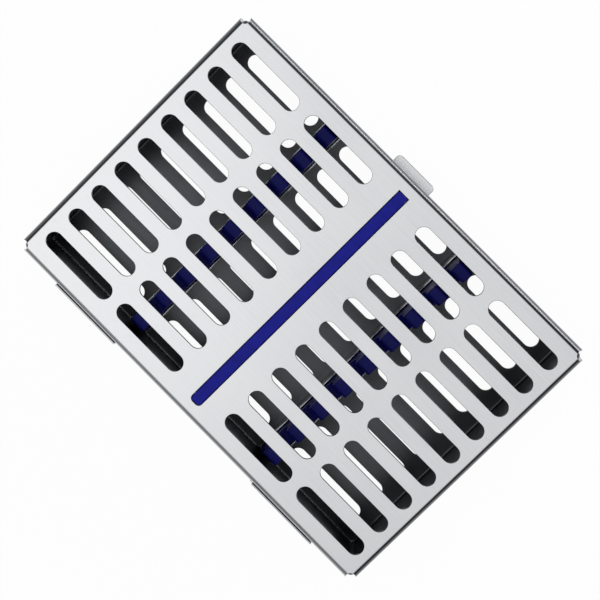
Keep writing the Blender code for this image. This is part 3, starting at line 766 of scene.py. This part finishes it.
def make_lid(edge, material):
    """The lid: a perforated plate with four flanges turned down and round reliefs at its corners."""
    def plan(across, level):
        corner = LID_BEND + SEAT_GAP - across
        outline = rounded_rectangle(LID_HIGH.x - across, LID_HIGH.y - across, corner, ROUND_STEPS)
        return on_axis("Z", outline, level)

    levels = [(across, LID_HIGH.z - drop) for across, drop in bend_levels(LID_BEND - SHEET, SHEET)]
    levels += reversed(rim_levels(LID_LOW.z, edge, -1))
    levels += [(across, LID_HIGH.z - drop) for across, drop in reversed(bend_levels(LID_BEND, 0))]
    lid = loft("perforated_lid", [plan(across, level) for across, level in levels])

    cuts = []
    bottom, top = LID_LOW.z - OVERRUN, LID_HIGH.z + OVERRUN
    for sign_x in (-1, 1):
        for sign_y in (-1, 1):
            corner = (sign_x * (LID_HIGH.x - BEND_RADIUS), sign_y * (LID_HIGH.y - BEND_RADIUS))
            far = (sign_x * (LID_HIGH.x + OVERRUN), sign_y * (LID_HIGH.y + OVERRUN))
            low = [min(pair) for pair in zip(corner, far)]
            high = [max(pair) for pair in zip(corner, far)]
            cuts.append(block((*low, bottom), (*high, top)))
            relief = [(bottom, RELIEF_RADIUS), (top, RELIEF_RADIUS)]
            cuts.append(turned("cutter", "Z", corner, relief))
    combine(lid, "DIFFERENCE", *cuts)

    outer_end = LID_HIGH.x - LID_END_MARGIN
    length = (outer_end - CENTRE_BAND / 2 - COLUMN_GAP) / 2
    inner_column = (CENTRE_BAND / 2, CENTRE_BAND / 2 + length)
    outer_column = (outer_end - length, outer_end)
    slotted(lid, LID_UNDERSIDE, LID_HIGH.z, inner_column, outer_column, edge, material)
    return combine(lid, "DIFFERENCE", cutter("Z", bar_outline(SEAT_GAP), LID_UNDERSIDE, LID_HIGH.z, edge))


def comb_outline(low, high):
    """A comb rail from the side: nine rounded teeth under the slot rows, with round notches between."""
    notch = (SLOT_PITCH - TOOTH_WIDTH) / 2
    level = high.z - NOTCH_DEPTH + notch
    half_tooth = TOOTH_WIDTH / 2
    shoulder = high.z - TOOTH_ROUND
    teeth = list(reversed(row_centres()))
    run_out = min(notch, high.y - teeth[0] - half_tooth)
    points = [(low.y, low.z), (high.y, low.z), (high.y, level - notch)]
    points += arc((teeth[0] + half_tooth + run_out, level), run_out, 270, 180, NOTCH_STEPS // 2)[1:]
    for index, middle in enumerate(teeth):
        points += arc((middle + half_tooth - TOOTH_ROUND, shoulder), TOOTH_ROUND, 0, 90, ROUND_STEPS)
        points += arc((middle - half_tooth + TOOTH_ROUND, shoulder), TOOTH_ROUND, 90, 180, ROUND_STEPS)
        if index < len(teeth) - 1:
            points += arc((middle - half_tooth - notch, level), notch, 0, -180, NOTCH_STEPS)
    points += arc((teeth[-1] - half_tooth - run_out, level), run_out, 0, -90, NOTCH_STEPS // 2)[:-1]
    points.append((low.y, level - notch))
    return soften(tidied(points), SEAT_GAP)


def tidied(outline):
    """Leave out points that lie on the one before."""
    return [point for index, point in enumerate(outline)
            if (Vector(point) - Vector(outline[index - 1])).length > TINY]


def make_comb(side, edge):
    """One silicone comb."""
    low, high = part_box("silicone_rail_" + side)
    return prism("comb_" + side, "X", comb_outline(low, high), low.x, high.x, edge)


def folded_channel(name, corners, low, high):
    """A channel folded from strip, from the corners of its middle line."""
    outline = strip_outline(bent_path(corners, STRIP_BEND - STRIP / 2), STRIP)
    return prism(name, "Y", outline, low.y, high.y, STRIP / 8)


def make_channel(side):
    """The folded channel that a comb stands in."""
    low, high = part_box("rail_channel_" + side)
    left, right = low.x + STRIP / 2, high.x - STRIP / 2
    web = low.z + STRIP / 2
    corners = [(left, high.z), (left, web), (right, web), (right, high.z)]
    return folded_channel("comb_channel_" + side, corners, low, high)


def swing_limit(level):
    """How far back a piece under the lid may reach at a level and still swing clear of the rim."""
    reach = math.hypot(HINGE_Y - INNER_HALF_Y, TRAY_HIGH.z - HINGE_Z) + SWING_CLEARANCE
    drop = min(abs(level - HINGE_Z), reach)
    return HINGE_Y - math.sqrt(reach * reach - drop * drop)


def make_bar(edge):
    """The silicone bar: a rib to press on the instruments, a shoulder under the lid and a stem in its slot."""
    low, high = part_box("hold_down_bar")
    top = LID_UNDERSIDE - SEAT_GAP
    shoulder = BAR_HALF_WIDTH + BAR_SHOULDER
    section = arc((0, low.z + BAR_HALF_WIDTH), BAR_HALF_WIDTH, 180, 360, NOTCH_STEPS) + [
        (BAR_HALF_WIDTH, top - BAR_SHOULDER_DEPTH),
        (shoulder, top - BAR_SHOULDER_DEPTH),
        (shoulder, top),
        (-shoulder, top),
        (-shoulder, top - BAR_SHOULDER_DEPTH),
        (-BAR_HALF_WIDTH, top - BAR_SHOULDER_DEPTH),
    ]
    reach = swing_limit(low.z)
    bar = prism("hold_down_insert", "Y", soften(tidied(section), 2 * edge), -reach, reach, edge)
    stem = prism("stem", "Z", soften(bar_outline(0), 2 * edge), top - BAR_EMBED, high.z, edge)
    return combine(bar, "UNION", stem)


def make_hat():
    """The hat channel that keeps the bar in the lid, with a slot for the bar's rib."""
    low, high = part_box("hold_down_channel")
    foot = high.z - STRIP / 2
    web = low.z + STRIP / 2
    side = high.x - CHANNEL_FOOT
    corners = [(low.x, foot), (-side, foot), (-side, web), (side, web), (side, foot), (high.x, foot)]
    hat = folded_channel("bar_channel", corners, low, high)
    slot = BAR_HALF_WIDTH + SEAT_GAP
    reach = swing_limit(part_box("hold_down_bar")[0].z) + SEAT_GAP
    gap = rounded_rectangle(slot, reach, SEAT_GAP, ROUND_STEPS)
    return combine(hat, "DIFFERENCE", cutter("Z", gap, low.z, low.z + STRIP, STRIP / 8))


def make_leaf(name, path, middle, width, cleared, edge):
    """A hinge leaf rolled from strip, with notches where the other leaf's knuckles turn."""
    leaf = prism(name, "X", strip_outline(path, STRIP), middle - width / 2, middle + width / 2, edge)
    room = PIN_RADIUS + PIN_CLEARANCE + STRIP + SEAT_GAP
    knuckle = width / KNUCKLES
    cuts = []
    for index in range(cleared, KNUCKLES, 2):
        start = middle - width / 2 + index * knuckle
        low = start - (OVERRUN if index == 0 else SEAT_GAP / 2)
        high = start + knuckle + (OVERRUN if index == KNUCKLES - 1 else SEAT_GAP / 2)
        cuts.append(block((low, HINGE_Y - room, HINGE_Z - room), (high, HINGE_Y + room, HINGE_Z + room)))
    return combine(leaf, "DIFFERENCE", *cuts)


def make_pin(side, edge):
    """A hinge pin with riveted heads."""
    low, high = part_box("hinge_pin_" + side)
    head = (high.y - low.y) / 2
    middle = (low.x + high.x) / 2
    reach = high.x - middle - PIN_HEAD
    ends = [(reach, PIN_RADIUS), (reach, head - edge), (reach + edge, head)]
    ends += [(reach + PIN_HEAD * math.sin(math.radians(turn)), head * math.cos(math.radians(turn)))
             for turn in PIN_DOME]
    profile = [(middle - place, radius) for place, radius in reversed(ends)]
    profile += [(middle + place, radius) for place, radius in ends]
    return turned("riveted_pin_" + side, "X", (HINGE_Y, HINGE_Z), profile)


def hinge_pieces(side, edge):
    """Both leaves of one hinge: three knuckles on the tray and two on the lid."""
    low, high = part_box("hinge_leaf_lid_" + side)
    base_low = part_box("hinge_leaf_base_" + side)[0]
    middle, width = (low.x + high.x) / 2, high.x - low.x
    roll = PIN_RADIUS + PIN_CLEARANCE + STRIP / 2
    tangent = HINGE_Y - roll
    wall = TRAY_HIGH.y + SEAT_GAP + STRIP / 2
    joggle = [(wall, base_low.z), (wall, HINGE_Z - JOGGLE_DROP), (tangent, HINGE_Z - JOGGLE_RISE), (tangent, HINGE_Z)]
    path = bent_path(joggle, STRIP)[:-1]
    path += arc((HINGE_Y, HINGE_Z), roll, 180, 180 - ROLL_DEGREES, ROLL_STEPS)
    base = make_leaf("base_leaf_" + side, path, middle, width, 1, edge)
    path = [(tangent, high.z)] + arc((HINGE_Y, HINGE_Z), roll, 180, 180 + ROLL_DEGREES, ROLL_STEPS)
    return base, make_leaf("lid_leaf_" + side, path, middle, width, 0, edge)


def rivet_place(side):
    """Where one of the latch's guide rivets stands along X."""
    low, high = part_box("latch_rivet_" + side)
    return (low.x + high.x) / 2


def make_catch(side, edge):
    """A catch under the lid: a foot, a leg down inside the front wall and a toe to one side."""
    low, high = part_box("latch_catch_" + side)
    foot = high.z - SHEET / 2
    corners = [(high.y, foot), (LATCH_MIDDLE_Y, foot), (LATCH_MIDDLE_Y, low.z)]
    outline = strip_outline(bent_path(corners, STRIP_BEND), SHEET)
    catch = prism("catch_" + side, "X", outline, low.x, low.x + CATCH_LEG, edge)
    root, tip, toe_top = low.x + CATCH_LEG / 2, high.x, low.z + TOE_HEIGHT
    toe = [(root, low.z), (tip - TOE_CORNER, low.z), (tip, low.z + TOE_CORNER)]
    toe += [(tip, toe_top - TOE_CORNER), (tip - TOE_CORNER, toe_top), (root, toe_top)]
    return combine(catch, "UNION", prism("toe", "Y", soften(toe, 2 * edge), LATCH_OUTER_Y, LATCH_INNER_Y, edge))


def make_lip(edge):
    """The thumb lip: a strip bent out from the plate's lower edge, with its outer corners rounded."""
    end = LATCH_LOW.y
    corners = [(LATCH_MIDDLE_Y, RIVET_Z), (LATCH_MIDDLE_Y, LIP_LEVEL), (end, LIP_LEVEL)]
    path = bent_path(corners, LIP_BEND)[:-1]
    sizes = [(LIP_WIDTH / 2, SHEET / 2)] * len(path)
    for across, along in arc((0, 0), LIP_ROUND, 0, 90, 2 * ROUND_STEPS):
        back = LIP_ROUND - along
        thin = edge - math.sqrt(max(0.0, edge ** 2 - max(0.0, edge - back) ** 2))
        path.append(Vector((end + back, LIP_LEVEL)))
        sizes.append((LIP_WIDTH / 2 - LIP_ROUND + across, SHEET / 2 - thin))
    loops = []
    for point, side, (half, thick) in zip(path, side_offsets(path), sizes):
        section = rounded_rectangle(half, thick, 0.9 * min(edge, thick), EDGE_STEPS)
        loops.append([(LIP_OFFSET + along, *(Vector(point) + side * up)) for along, up in section])
    return loft("lip", loops)


def make_slide(edge):
    """The latch plate with two hooked fingers, two guide slots and the thumb lip."""
    left, right = LATCH_LOW.x, LATCH_HIGH.x
    finger_top = LATCH_HIGH.z
    finger_low = finger_top - TOE_HEIGHT
    points = [(left, LATCH_LEVEL), (right, LATCH_LEVEL), (right, LATCH_TOP)]
    for side in reversed(SIDES):
        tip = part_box("latch_catch_" + side)[1].x + RELEASE_GAP
        stem = tip + FINGER_TOE
        points += [
            (stem + CATCH_LEG, LATCH_TOP), (stem + CATCH_LEG, finger_top), (tip, finger_top),
            (tip, finger_low), (stem, finger_low), (stem, LATCH_TOP),
        ]
    points.append((left, LATCH_TOP))
    plate = prism("latch_plate", "Y", soften(points, SEAT_GAP), LATCH_OUTER_Y, LATCH_INNER_Y, edge)
    combine(plate, "UNION", make_lip(LIP_EDGE))
    width = 2 * (RIVET_SHOULDER + SEAT_GAP)
    cuts = []
    for side in SIDES:
        centre = (rivet_place(side) + LATCH_TRAVEL / 2, RIVET_Z)
        guide = stadium(centre, width + LATCH_TRAVEL, width)
        cuts.append(cutter("Y", guide, LATCH_OUTER_Y, LATCH_INNER_Y, edge))
    return combine(plate, "DIFFERENCE", *cuts)


def make_rivet(side):
    """A shouldered rivet through the front wall, with a domed tail outside and a low head inside."""
    low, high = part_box("latch_rivet_" + side)
    tail = low.y + TAIL_HEIGHT
    shoulder = -INNER_HALF_Y + SEAT_GAP
    head = LATCH_INNER_Y + SEAT_GAP
    head_radius = (high.x - low.x) / 2
    turns = [math.radians(turn) for turn in RIVET_DOME]
    profile = [(tail - (tail - low.y) * math.sin(turn), RIVET_TAIL * math.cos(turn)) for turn in turns]
    profile += [(tail, RIVET_SHANK), (shoulder, RIVET_SHANK), (shoulder, RIVET_SHOULDER), (head, RIVET_SHOULDER)]
    profile += [(head + (high.y - head) * math.sin(turn), head_radius * math.cos(turn)) for turn in reversed(turns)]
    return turned("guide_rivet_" + side, "Y", (rivet_place(side), RIVET_Z), profile)


def make_washer(side, edge):
    """The washer that holds the latch plate off the wall."""
    low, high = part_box("latch_washer_" + side)
    radius = (high.x - low.x) / 2
    bore = RIVET_SHOULDER + SEAT_GAP
    ring = soften([(low.y, bore), (low.y, radius), (high.y, radius), (high.y, bore)], edge)
    loops = [on_axis("Y", circle((rivet_place(side), RIVET_Z), reach), place) for place, reach in ring]
    return loft("spacer_washer_" + side, loops, True)


def make_marks(name, points, settings, material):
    """Weld marks on a list of (place, facing) points, as one mesh."""
    work = bmesh.new()
    for place, _ in points:
        work.verts.new(place)
    made = make_object(name, work)
    facing = made.data.attributes.new("facing", "FLOAT_VECTOR", "POINT")
    for index, (_, direction) in enumerate(points):
        facing.data[index].vector = direction
    return run_tree(made, mark_tree(), {
        "Radius": settings.mark_radius, "Height": settings.mark_height, "Sides": ROUND_SIDES // 2,
        "Material": material})


def satin(settings):
    """The satin sheet's materials, made once: the lid's, the tray's and the latch plate's."""
    names = ["satin_stainless_" + piece for piece in ("lid", "tray", "latch")]
    if names[0] not in bpy.data.materials:
        plate = (settings.dark, settings.light)
        inside = (settings.inside_shade_dark, settings.inside_shade_light)
        wall = (settings.wall_shade_dark, settings.wall_shade_light)
        bend = (settings.bend_shade_dark, settings.bend_shade_light)
        edge, roughness, middle = settings.edge, settings.roughness, 0.7 * SHEET
        satin_steel(
            names[0], plate, roughness, inside, (LID_HIGH.x - LID_BEND, LID_HIGH.y - LID_BEND),
            (LID_HIGH.z - edge / 2, LID_HIGH.z - edge), (LID_HIGH.z, LID_BEND, settings.crease_shade, bend, wall))
        # The tray takes the darker wall tones all over as painted shade, and the painted inside shade above its floor
        # within the walls
        satin_steel(
            names[1], wall, roughness, inside, (TRAY_HIGH.x - middle, TRAY_HIGH.y - middle), (SHEET / 4, SHEET / 2))
        # For the latch plate: the painted inside shade within the tray, and the painted crease line and bend shade
        # round its lip
        satin_steel(
            names[2], (settings.light, settings.light), roughness, inside, (LID_HIGH.x, INNER_HALF_Y),
            (LIP_LEVEL - OVERRUN, LIP_LEVEL - SHEET), (LIP_LEVEL + SHEET / 2, SHEET, settings.crease_shade, bend, wall))
    return [bpy.data.materials[name] for name in names]


def bright(settings):
    """The bright strip's material, made once."""
    name = "bright_annealed_strip"
    return bpy.data.materials.get(name) or bright_steel(name, (settings.dark, settings.light), settings.roughness)


def silicone(settings):
    """The silicone's two materials, made once: the bar's, and the combs' darker copy, whose darkness is painted
    shade.
    """
    names = ("navy_silicone_bar", "navy_silicone_comb")
    if names[0] not in bpy.data.materials:
        moulded_silicone(names[0], (settings.dark, settings.light), settings.roughness)
        moulded_silicone(names[1], (settings.comb_shade_dark, settings.comb_shade_light), settings.roughness)
    return [bpy.data.materials[name] for name in names]


def colour_property(label, text, code):
    """A colour that a user may change."""
    return FloatVectorProperty(
        name=label, description=text, subtype="COLOR", size=4, min=0, max=1, default=linear(code))


def share_property(label, text, value):
    """A share from 0 to 1 that a user may change."""
    return FloatProperty(name=label, description=text, default=value, min=0, max=1, subtype="FACTOR")


def length_property(label, text, value, low, high):
    """A length that a user may change, given here in millimetres."""
    return FloatProperty(
        name=label, description=text, default=value * MM, min=low * MM, max=high * MM, unit="LENGTH")


def power_property(label, text, value):
    """A lamp's power in watts, which a user may change."""
    return FloatProperty(name=label, description=text, default=value, unit="POWER")


class CassetteSheetSettings(bpy.types.PropertyGroup):
    """Finish of the folded sheet."""

    light: colour_property("Light Grain", "Bright streaks of the brushed sheet", "#EFEFF0")
    dark: colour_property("Dark Grain", "Dark streaks of the brushed sheet", "#DDDEE0")
    # Wall tones: the tray and the lid's flanges are darker than the lid's top as painted shade, on the same steel
    wall_shade_light: colour_property("Wall Light", "Bright streaks of the outer walls", "#B8B9BC")
    wall_shade_dark: colour_property("Wall Dark", "Dark streaks of the outer walls", "#A6A7AA")
    # Bend tones: painted shade and reflection along the lid's bends, on the same steel as the rest
    bend_shade_light: colour_property("Bend Light", "Bright streaks of the rolled finish on the lid's bends", "#7C7D80")
    bend_shade_dark: colour_property("Bend Dark", "Dark streaks of the rolled finish on the lid's bends", "#6C6D70")
    # Crease: a painted dark line along the bends and round the slot edges, painted shade and reflection
    crease_shade: colour_property("Crease", "Line that the press tool leaves along a bend", "#3A3B3D")
    # Inside tones: painted shade on the inner side of the tray, the lid and the latch plate, which are the same steel
    inside_shade_light: colour_property("Inside Light", "Brighter patches of the dulled inner side", "#67686B")
    inside_shade_dark: colour_property("Inside Dark", "Darker patches of the dulled inner side", "#58595C")
    roughness: share_property("Roughness", "Roughness of the satin finish", 0.34)
    edge: length_property("Edge Round", "Radius that tumbling leaves along cut edges", 0.28, 0.05, 0.3)


class CassetteStripSettings(bpy.types.PropertyGroup):
    """Finish of the channels, hinges, catches and rivets."""

    light: colour_property("Light", "Bright patches of the strip", "#DADBDE")
    dark: colour_property("Dark", "Hazy patches of the strip", "#BFC1C5")
    roughness: share_property("Roughness", "Roughness of the bright strip", 0.20)
    edge: length_property("Edge Round", "Radius along the strip's cut edges", 0.1, 0.05, 0.2)
    mark_radius: length_property("Weld Mark Radius", "Radius of a spot weld's mark", 1.3, 0.5, 2.0)
    mark_height: length_property("Weld Mark Height", "How far a weld mark stands proud", 0.08, 0.02, 0.2)


class CassetteSiliconeSettings(bpy.types.PropertyGroup):
    """Finish of the combs and the hold-down bar."""

    light: colour_property("Light", "Silicone where dust has settled", "#1A2098")
    dark: colour_property("Dark", "Clean silicone", "#101382")
    # Comb tones: the bar's silicone made darker as painted shade for the combs down in the tray; the dust bloom
    # within them is real
    comb_shade_light: colour_property("Comb Light", "The combs' silicone where dust has settled", "#0F126C")
    comb_shade_dark: colour_property("Comb Dark", "The combs' clean silicone", "#0A0D58")
    roughness: share_property("Roughness", "Roughness of the moulded silicone", 0.5)
    edge: length_property("Edge Round", "Radius along the moulded edges", 0.4, 0.1, 0.6)


class CassetteStageSettings(bpy.types.PropertyGroup):
    """Floor and light of the studio."""

    floor: colour_property("Floor", "Colour of the studio sweep", "#F6F6F6")
    glow: share_property("White Share", "How far the sweep is seen as pure white", 0.96)
    horizon: colour_property("Horizon", "World colour low over the floor", "#A8A9AB")
    zenith: colour_property("Zenith", "World colour overhead", "#8A8B8D")
    overhead_power: power_property("Overhead Power", "Power of the overhead panel", 3.95)
    side_power: power_property("Side Power", "Power of the side panel", 0.85)
    strip_power: power_property("Strip Power", "Power of the low strip in front", 2.2)


class CassettePieceOperator:
    """What every maker of pieces shares."""

    bl_options = {"REGISTER", "UNDO"}


class CASSETTE_OT_tray(CassettePieceOperator, bpy.types.Operator):
    """Fold the tray with its slotted floor"""

    bl_idname = "cassette.tray"
    bl_label = "Slotted Tray"

    def execute(self, context):
        settings = context.scene.cassette_sheet
        material = satin(settings)[1]
        finish_piece(make_tray(settings.edge, material), "base", "brushed_steel", material, "base_tray")
        return {"FINISHED"}


class CASSETTE_OT_lid(CassettePieceOperator, bpy.types.Operator):
    """Fold the perforated lid"""

    bl_idname = "cassette.lid"
    bl_label = "Perforated Lid"

    def execute(self, context):
        settings = context.scene.cassette_sheet
        material = satin(settings)[0]
        finish_piece(make_lid(settings.edge, material), "lid", "brushed_steel", material, "lid_cover")
        return {"FINISHED"}


class CASSETTE_OT_combs(CassettePieceOperator, bpy.types.Operator):
    """Mould the two silicone combs"""

    bl_idname = "cassette.combs"
    bl_label = "Silicone Combs"

    def execute(self, context):
        settings = context.scene.cassette_silicone
        material = silicone(settings)[1]
        for side in SIDES:
            finish_piece(make_comb(side, settings.edge), "base", "blue_silicone", material, "silicone_rail_" + side)
        return {"FINISHED"}


class CASSETTE_OT_channels(CassettePieceOperator, bpy.types.Operator):
    """Fold the channels that hold the combs and the bar"""

    bl_idname = "cassette.channels"
    bl_label = "Channels"

    def execute(self, context):
        material = bright(context.scene.cassette_strip)
        for side in SIDES:
            finish_piece(make_channel(side), "base", "polished_steel", material, "rail_channel_" + side)
        finish_piece(make_hat(), "lid", "polished_steel", material, "hold_down_channel")
        return {"FINISHED"}


class CASSETTE_OT_bar(CassettePieceOperator, bpy.types.Operator):
    """Mould the hold-down bar"""

    bl_idname = "cassette.bar"
    bl_label = "Hold-down Bar"

    def execute(self, context):
        settings = context.scene.cassette_silicone
        finish_piece(make_bar(settings.edge), "lid", "blue_silicone", silicone(settings)[0], "hold_down_bar")
        return {"FINISHED"}


class CASSETTE_OT_hinges(CassettePieceOperator, bpy.types.Operator):
    """Roll the hinge leaves and rivet their pins"""

    bl_idname = "cassette.hinges"
    bl_label = "Hinges"

    def execute(self, context):
        settings = context.scene.cassette_strip
        material = bright(settings)
        for side in SIDES:
            base, lid = hinge_pieces(side, settings.edge)
            finish_piece(base, "base", "polished_steel", material, "hinge_leaf_base_" + side)
            finish_piece(lid, "lid", "polished_steel", material, "hinge_leaf_lid_" + side)
            finish_piece(make_pin(side, settings.edge), "base", "polished_steel", material, "hinge_pin_" + side)
        return {"FINISHED"}


class CASSETTE_OT_latch(CassettePieceOperator, bpy.types.Operator):
    """Make the latch plate, its catches, rivets and washers"""

    bl_idname = "cassette.latch"
    bl_label = "Slide Latch"

    def execute(self, context):
        settings = context.scene.cassette_strip
        material = bright(settings)
        plate = satin(context.scene.cassette_sheet)[2]
        finish_piece(make_slide(settings.edge), "latch", "brushed_steel", plate, "latch_slide")
        for side in SIDES:
            finish_piece(make_catch(side, settings.edge), "lid", "polished_steel", material, "latch_catch_" + side)
            finish_piece(make_rivet(side), "base", "polished_steel", material, "latch_rivet_" + side)
            finish_piece(make_washer(side, settings.edge), "base", "polished_steel", material, "latch_washer_" + side)
        return {"FINISHED"}


class CASSETTE_OT_marks(CassettePieceOperator, bpy.types.Operator):
    """Set the spot welds' marks on the hinge leaves and the bar's channel"""

    bl_idname = "cassette.marks"
    bl_label = "Weld Marks"

    def execute(self, context):
        settings = context.scene.cassette_strip
        material = bright(settings)
        base, lid = [], []
        for side in SIDES:
            low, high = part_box("hinge_leaf_lid_" + side)
            base_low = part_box("hinge_leaf_base_" + side)[0]
            middle, third = (low.x + high.x) / 2, (high.x - low.x) / 3
            leaf_face = HINGE_Y - PIN_RADIUS - PIN_CLEARANCE
            wall_face = TRAY_HIGH.y + SEAT_GAP + STRIP
            for place in (middle - third, middle, middle + third):
                lid.append(((place, leaf_face, (high.z + HINGE_Z) / 2 + SHEET), (0, 1, 0)))
                base.append(((place, wall_face, (base_low.z + HINGE_Z - JOGGLE_DROP) / 2), (0, 1, 0)))
        low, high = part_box("hold_down_channel")
        for sign in (-1, 1):
            for row in row_centres()[::2]:
                lid.append(((sign * (high.x - CHANNEL_FOOT / 2), row, high.z - STRIP), (0, 0, -1)))
        for name, body, points in (("tray_weld_marks", "base", base), ("lid_weld_marks", "lid", lid)):
            finish_piece(make_marks(name, points, settings, material), body, "polished_steel", material)
        return {"FINISHED"}


class CASSETTE_OT_stage(CassettePieceOperator, bpy.types.Operator):
    """Set the floor, the lamps and the camera"""

    bl_idname = "cassette.stage"
    bl_label = "Studio"

    def execute(self, context):
        settings = context.scene.cassette_stage
        scene = context.scene
        work = bmesh.new()
        work.faces.new([work.verts.new((x, y, 0)) for x, y in circle((0, 0), FLOOR_RADIUS, FLOOR_SIDES)])
        floor = make_object("studio_floor", work)
        floor.data.materials.append(white_sweep("white_sweep", settings.floor, settings.glow))

        world = bpy.data.worlds.new("studio")
        scene.world = world
        world.use_nodes = True
        tree = world.node_tree
        parts = separate(tree, add_node(tree, "ShaderNodeTexCoord").outputs["Generated"])
        share = spread(tree, parts["Z"], *SKY_BLEND)
        colour = blend_colours(tree, share, settings.horizon, settings.zenith)
        seen = add_node(tree, "ShaderNodeLightPath").outputs["Is Camera Ray"]
        colour = blend_colours(tree, seen, colour, linear("#FFFFFF"))
        tree.links.new(colour, tree.nodes["Background"].inputs["Color"])

        for name, where, size, power in LAMPS:
            lamp = bpy.data.lights.new(name, "AREA")
            lamp.shape = "RECTANGLE"
            lamp.size, lamp.size_y = size
            lamp.energy = getattr(settings, power)
            made = bpy.data.objects.new(name, lamp)
            made.location = where
            made.rotation_mode = "QUATERNION"
            made.rotation_quaternion = (-Vector(where)).to_track_quat("-Z", "Y")
            scene.collection.objects.link(made)

        camera = bpy.data.cameras.new("photo_camera")
        camera.sensor_width = SENSOR
        camera.lens = FOCAL_SHARE * SENSOR
        camera.shift_x, camera.shift_y = CAMERA_SHIFT
        camera.clip_start = CLIP_START
        made = bpy.data.objects.new("photo_camera", camera)
        made.location = CAMERA_PLACE
        made.rotation_euler = [math.radians(angle) for angle in CAMERA_TURN]
        scene.collection.objects.link(made)
        scene.camera = made
        scene.view_settings.view_transform = "Standard"
        return {"FINISHED"}


MAKERS = (
    CASSETTE_OT_tray, CASSETTE_OT_lid, CASSETTE_OT_combs, CASSETTE_OT_channels, CASSETTE_OT_bar,
    CASSETTE_OT_hinges, CASSETTE_OT_latch, CASSETTE_OT_marks, CASSETTE_OT_stage,
)
SETTINGS = {
    "cassette_sheet": CassetteSheetSettings,
    "cassette_strip": CassetteStripSettings,
    "cassette_silicone": CassetteSiliconeSettings,
    "cassette_stage": CassetteStageSettings,
}


class CASSETTE_PT_pieces(bpy.types.Panel):
    """Lists the makers in order, with their settings below"""

    bl_idname = "CASSETTE_PT_pieces"
    bl_label = "Instrument Cassette"
    bl_space_type = "VIEW_3D"
    bl_region_type = "UI"
    bl_category = "Cassette"

    def draw(self, context):
        for maker in MAKERS:
            self.layout.operator(maker.bl_idname)
        for name, group in SETTINGS.items():
            box = self.layout.box()
            for key in group.__annotations__:
                box.prop(getattr(context.scene, name), key)


def register():
    """Register the settings, the makers and the panel."""
    for name, group in SETTINGS.items():
        bpy.utils.register_class(group)
        setattr(bpy.types.Scene, name, PointerProperty(type=group))
    for made in (*MAKERS, CASSETTE_PT_pieces):
        bpy.utils.register_class(made)


def unregister():
    """Take them all out again."""
    for made in (CASSETTE_PT_pieces, *reversed(MAKERS)):
        bpy.utils.unregister_class(made)
    for name, group in SETTINGS.items():
        delattr(bpy.types.Scene, name)
        bpy.utils.unregister_class(group)


def main():
    """Make every piece."""
    register()
    for maker in MAKERS:
        group, name = maker.bl_idname.split(".")
        getattr(getattr(bpy.ops, group), name)()


if __name__ == "__main__":
    main()
